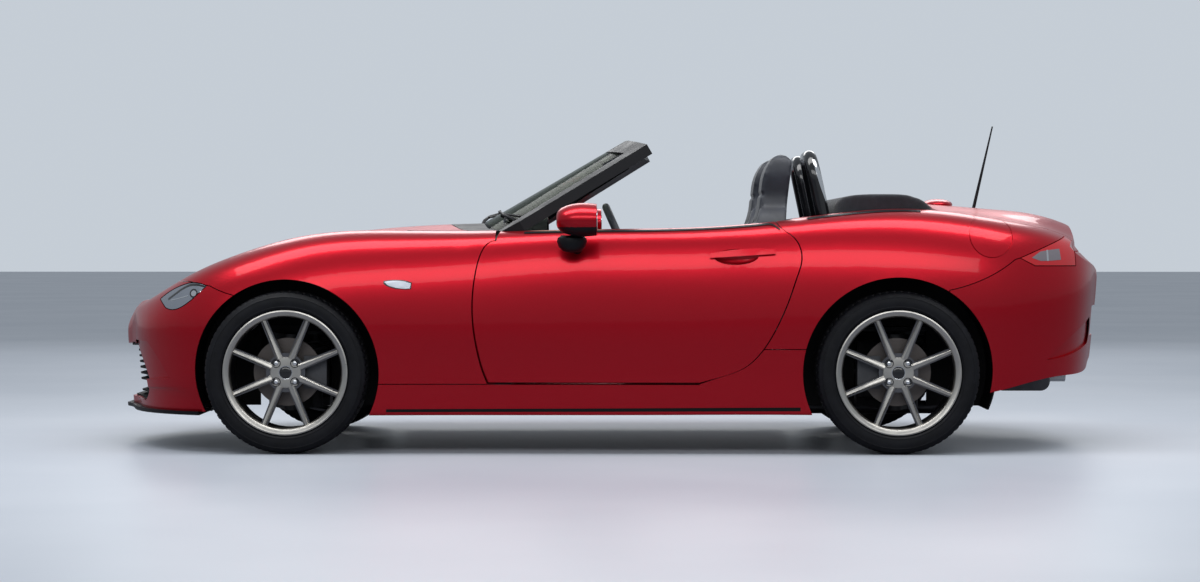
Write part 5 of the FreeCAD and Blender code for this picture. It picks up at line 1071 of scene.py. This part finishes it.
def seat_form(middle):
    """How far each point of a seat moves: crowned insert, sewn channels, bolster seams."""
    def move(at, normal):
        aside = abs(at.y - middle)
        back = at.z > CUSHION_TOP
        faces_out = normal.x < -BACK_FACES if back else normal.z > CUSHION_FACES
        if not faces_out:
            return 0
        change = 0
        if aside < INSERT_HALF and at.z < HEAD_SEAM:
            change += CROWN * math.cos(math.pi / 2 * aside / INSERT_HALF)
        if at.z < HEAD_SEAM:
            change -= BOLSTER_SEAM_DEPTH * groove(aside - INSERT_HALF, SEAM_WIDTH)
        if aside < INSERT_HALF:
            spot = at.z if back else at.x
            for line in BACK_CHANNELS if back else CUSHION_CHANNELS:
                change -= CHANNEL_DEPTH * groove(spot - line, SEAM_WIDTH)
        if back:
            change -= HEAD_SEAM_DEPTH * groove(at.z - HEAD_SEAM, HEAD_SEAM_WIDTH)
        return change
    return move


def roof_form(at, normal):
    """Seams across the folded roof and near its two ends."""
    if normal.z <= ROOF_FACES:
        return 0
    seams = ((at.x, ROOF_SEAM), (abs(at.y), ROOF_END_SEAM))
    return -sum(depth * groove(spot - line, width) for spot, (line, depth, width) in seams)


def make_soft_pieces():
    """Seats and folded roof with their seams, and the seat belts' ends."""
    for tag, side, _ in SIDES:
        seat = shaped("seat_cover_" + tag, "seat_" + tag, seat_form(side * SEAT_MIDDLE), LEATHER)
        block("seat_belt_" + tag, beside(side, BELT_END[0]), BELT_END[1], SATIN_BLACK)
    roof = shaped("folded_roof", "soft_top", roof_form, ROOF_CLOTH)


def make_instruments():
    """Hood over the dials, the dials and the panel behind them."""
    cowl = []
    for step in range(COWL_STEPS + 1):
        angle = math.pi * step / COWL_STEPS
        across = DIALS[0][0] - COWL_HALF * math.cos(angle)
        up = COWL_LOW + COWL_RISE * math.sin(angle) ** COWL_SQUARENESS
        cowl.append([mm(along, across, up) for along in COWL_EDGES])
    plate("instrument_hood", cowl, mm(0, 0, -COWL_DEPTH), CABIN_PLASTIC)
    for index, (across, radius) in enumerate(DIALS):
        place = mm(DIAL_ALONG, across, DIAL_UP)
        rim, ring = ([(radius + wider, out) for wider, out in line]
                     for line in (DIAL_RIM, DIAL_RING))
        turned("dial_%d" % index, [(0, DIAL_FACE)] + rim, place, DIAL_LEAN, GLOSS_BLACK)
        turned("dial_ring_%d" % index, ring, place, DIAL_LEAN, CHROME)
    block("dial_panel", *DIAL_PANEL, GLOSS_BLACK, tilt=-8, edge=5)


def make_dashboard():
    """Instruments, round vents, blank screen, knobs and glove box lid."""
    tree = skin("dashboard")
    start, way = VIEWS["rear"]

    def on_face(across, up):
        hit = tree.ray_cast(start(across * MM, up * MM), way)[0]
        return hit if hit is not None else mm(DASH_FACE, across, up)

    make_instruments()
    for index, across in enumerate(VENTS):
        place = on_face(across, VENT_UP)
        turned("vent_ring_%d" % index, VENT_RING, place, FACE_LEAN, SATIN_BLACK)
        turned("vent_chrome_%d" % index, VENT_CHROME, place, FACE_LEAN, CHROME)
        for offset in (-VENT_BARS, 0, VENT_BARS):
            block("vent_bar_%d_%d" % (index, offset + VENT_BARS),
                  (place.x / MM + VENT_BAR_OUT, across, VENT_UP + offset),
                  (VENT_BAR_DEPTH, VENT_BAR_WIDTH - abs(offset), VENT_BAR_HEIGHT),
                  SATIN_BLACK, edge=1)
    block("screen", *SCREEN, GLOSS_BLACK, tilt=-8, edge=5)
    block("screen_foot", *SCREEN_FOOT, CABIN_PLASTIC, edge=8)
    for index, across in enumerate(KNOBS):
        place = on_face(across, KNOB_UP)
        turned("knob_%d" % index, KNOB, place, FACE_LEAN, SATIN_BLACK)
        turned("knob_ring_%d" % index, KNOB_RING, place, FACE_LEAN, CHROME)
    glove = [[on_face(across, up) + mm(GLOVE_LID_OUT, 0, 0) for across in GLOVE_LID_ACROSS]
             for up in GLOVE_LID_UP]
    plate("glove_lid", glove, mm(-GLOVE_LID_DEPTH, 0, 0), LEATHER)


def make_controls():
    """Gear lever, handbrake, pedals, wheel pad and column stalks."""
    lever = mm(GEAR_ALONG, 0, 0)
    knob = mm(GEAR_KNOB_ALONG, 0, GEAR_KNOB_UP)
    turned("gear_boot", GEAR_BOOT, lever, UP, LEATHER)
    tube("gear_shaft", [mm(GEAR_ALONG, 0, GEAR_SHAFT_LOW), knob], GEAR_SHAFT_RADIUS, CHROME)
    turned("gear_knob", GEAR_KNOB, knob, UP, LEATHER)
    turned("gear_ring", GEAR_RING, lever, UP, SATIN_BLACK)
    tube("handbrake", bent(HANDBRAKE), HANDBRAKE_RADIUS, LEATHER)
    for index, (across, wide, tall) in enumerate(PEDALS):
        block("pedal_%d" % index, (PEDAL_ALONG, across, PEDAL_UP), (PEDAL_DEPTH, wide, tall),
              ROUGH_BLACK, tilt=28, edge=3)
        tube("pedal_arm_%d" % index, bent([(along, across, up) for along, up in PEDAL_ARM]),
             PEDAL_ARM_RADIUS, CHASSIS)
    turned("wheel_pad", WHEEL_PAD, HAND_WHEEL, HAND_WHEEL_AXIS, CABIN_PLASTIC, "hand_wheel",
           steps=40)
    turned("wheel_badge_blank", WHEEL_BLANK, HAND_WHEEL, HAND_WHEEL_AXIS, CHROME, "hand_wheel",
           steps=32)
    for _, side, name in SIDES:
        root = HAND_WHEEL - HAND_WHEEL_AXIS * STALK_BACK * MM + mm(*beside(side, STALK_OUT))
        tip = root + mm(*beside(side, STALK_REACH))
        tube("stalk_" + name, [root, (root + tip) / 2 + mm(0, 0, STALK_BOW), tip], STALK_RADII,
             SATIN_BLACK)


def make_door_trim():
    """Dark inner faces of the doors with arm rest and pull."""
    for tag, side, _ in SIDES:
        body = DOOR_BODY[tag]

        def inner(at, normal, side=side):
            return -side * normal.y > DOOR_FACES and abs(at.y) < DOOR_LINED_TO
        layer("door_lining_" + tag, "door_" + tag, inner, LINING_LIFT, CABIN_PLASTIC, body)
        hit = skin("door_" + tag).ray_cast(mm(*DOOR_PROBE), Vector((0, side, 0)))[0]
        across = abs(hit.y) / MM
        block("arm_rest_" + tag, (ARM_REST_ALONG, side * (across - ARM_REST_IN), ARM_REST_UP),
              ARM_REST_SIZE, LEATHER, body, tilt=2, edge=14)
        tube("door_pull_" + tag, bent([(along, side * (across - off), up)
                                       for along, off, up in DOOR_PULL]), PULL_RADIUS, CHROME,
             body)


def make_cabin_linings():
    """Dark linings over the painted inner faces of sills and rear side panels."""
    def sill(at, normal):
        return at.y * normal.y < 0 and abs(normal.y) > SILL_FACES and at.z > SILL_LINED_FROM

    def quarter(at, normal):
        inside = at.y * normal.y < 0 and abs(normal.y) > QUARTER_FACES
        return inside and at.x < QUARTER_LINED_TO and at.z > QUARTER_LINED_FROM
    layer("sill_linings", "sills", sill, LINING_LIFT, CARPET)
    for tag, _, _ in SIDES:
        layer("rear_lining_" + tag, "quarter_" + tag, quarter, LINING_LIFT, CABIN_PLASTIC)


def make_carpets():
    """Carpet mats in the foot wells."""
    tree = skin("floor_pan")
    for tag, side, _ in SIDES:
        rows = []
        for step in range(MAT_STEPS + 1):
            along = MAT_FROM[0] + MAT_SIZE[0] * step / MAT_STEPS
            row = []
            for place in range(MAT_STEPS + 1):
                across = side * (MAT_FROM[1] + MAT_SIZE[1] * place / MAT_STEPS)
                hit = tree.ray_cast(mm(along, across, MAT_PROBE), Vector((0, 0, -1)))[0]
                up = hit.z / MM if hit is not None else FLOOR_UP
                row.append(mm(along, across, up + MAT_UP))
            rows.append(row)
        plate("floor_mat_" + tag, rows, mm(0, 0, -MAT_DEPTH), CARPET)


# Camera, light and floor, in metres but for the camera's place


LENS_LENGTH = 84.15
CAMERA_TILT = 0.0182
CAMERA_TURN = 0.00998
SIGHT = 200
FLOOR_SPAN = 60
LIT_WORLD = ((0.80, 0.87, 0.95, 1), 0.42)
SEEN_WORLD = ((0.66, 0.72, 0.79, 1), 0.85)
# Name, place, aim, width, height and watts
SOFT_LAMPS = (("overhead", (0, -1.0, 5.0), (0, 0, 0.5), 9, 2.0, 270),
              ("near_side", (0, -9.0, 5.5), (0, 0, 0.6), 15, 2.6, 330),
              ("far_side", (0, 9.0, 5.0), (0, 0, 0.6), 8, 3.0, 200))
# Numbers of a Mix node's colour sockets
MIX_FIRST = 6
MIX_SECOND = 7
MIX_RESULT = 2


def place_camera():
    """Camera square to the car's left side, far back, as in the photograph."""
    data = bpy.data.cameras.new("photo_camera")
    data.lens = LENS_LENGTH
    data.clip_end = SIGHT
    camera = bpy.data.objects.new("photo_camera", data)
    bpy.context.scene.collection.objects.link(camera)
    camera.location = mm(*CAMERA_PLACE)
    camera.rotation_euler = (math.pi / 2 - CAMERA_TILT, 0, CAMERA_TURN)
    bpy.context.scene.camera = camera


def soft_lamp(name, place, aim, wide, tall, watts):
    """Large soft lamp that looks at a point."""
    data = bpy.data.lights.new(name, "AREA")
    data.shape = "RECTANGLE"
    data.size = wide
    data.size_y = tall
    data.energy = watts
    lamp = bpy.data.objects.new(name, data)
    lamp.location = place
    lamp.rotation_euler = (Vector(aim) - Vector(place)).to_track_quat("-Z", "Y").to_euler()
    bpy.context.scene.collection.objects.link(lamp)


def light_scene():
    """Pale world, paler where the camera sees it, and three soft lamps."""
    world = bpy.data.worlds.new("pale_hall")
    bpy.context.scene.world = world
    world.use_nodes = True
    tree = world.node_tree
    backgrounds = (tree.nodes["Background"], tree.nodes.new("ShaderNodeBackground"))
    path = tree.nodes.new("ShaderNodeLightPath")
    mix = tree.nodes.new("ShaderNodeMixShader")
    tree.links.new(path.outputs["Is Camera Ray"], mix.inputs[0])
    for index, (colour, strength) in enumerate((LIT_WORLD, SEEN_WORLD)):
        backgrounds[index].inputs["Color"].default_value = colour
        backgrounds[index].inputs["Strength"].default_value = strength
        tree.links.new(backgrounds[index].outputs[0], mix.inputs[index + 1])
    tree.links.new(mix.outputs[0], tree.nodes["World Output"].inputs[0])
    for lamp in SOFT_LAMPS:
        soft_lamp(*lamp)


def lay_floor():
    """Plain pale floor, darker in the car's own reflections."""
    mesh = bpy.data.meshes.new("floor")
    corners = [(-1, -1), (1, -1), (1, 1), (-1, 1)]
    mesh.from_pydata([(FLOOR_SPAN * x, FLOOR_SPAN * y, 0) for x, y in corners], [],
                     [(0, 1, 2, 3)])
    floor = bpy.data.objects.new("floor", mesh)
    bpy.context.scene.collection.objects.link(floor)
    finish = Finish("pale_floor", linear(205, 212, 222), roughness=0.35)
    finish.vary(linear(196, 203, 214), linear(206, 212, 222), scale=0.6)
    pale = finish.shader.inputs["Base Color"].links[0].from_socket
    path = finish.add("ShaderNodeLightPath")
    mix = finish.add("ShaderNodeMix", data_type="RGBA")
    mix.inputs[MIX_FIRST].default_value = linear(120, 124, 134)
    finish.link(path, "Is Camera Ray", mix, 0)
    finish.tree.links.new(pale, mix.inputs[MIX_SECOND])
    finish.link(mix, MIX_RESULT, finish.shader, "Base Color")
    dress(floor, finish.material)


finish_nodes()
make_running_gear()
make_belt()
make_sill_strips()
make_lamps()
make_mirrors()
make_wipers()
make_header_trim()
make_hoop_trim()
make_pipe_tips()
make_high_lamp()
make_soft_pieces()
make_dashboard()
make_controls()
make_door_trim()
make_cabin_linings()
make_carpets()
place_camera()
light_scene()
lay_floor()
bpy.context.scene.view_settings.view_transform = "Standard"
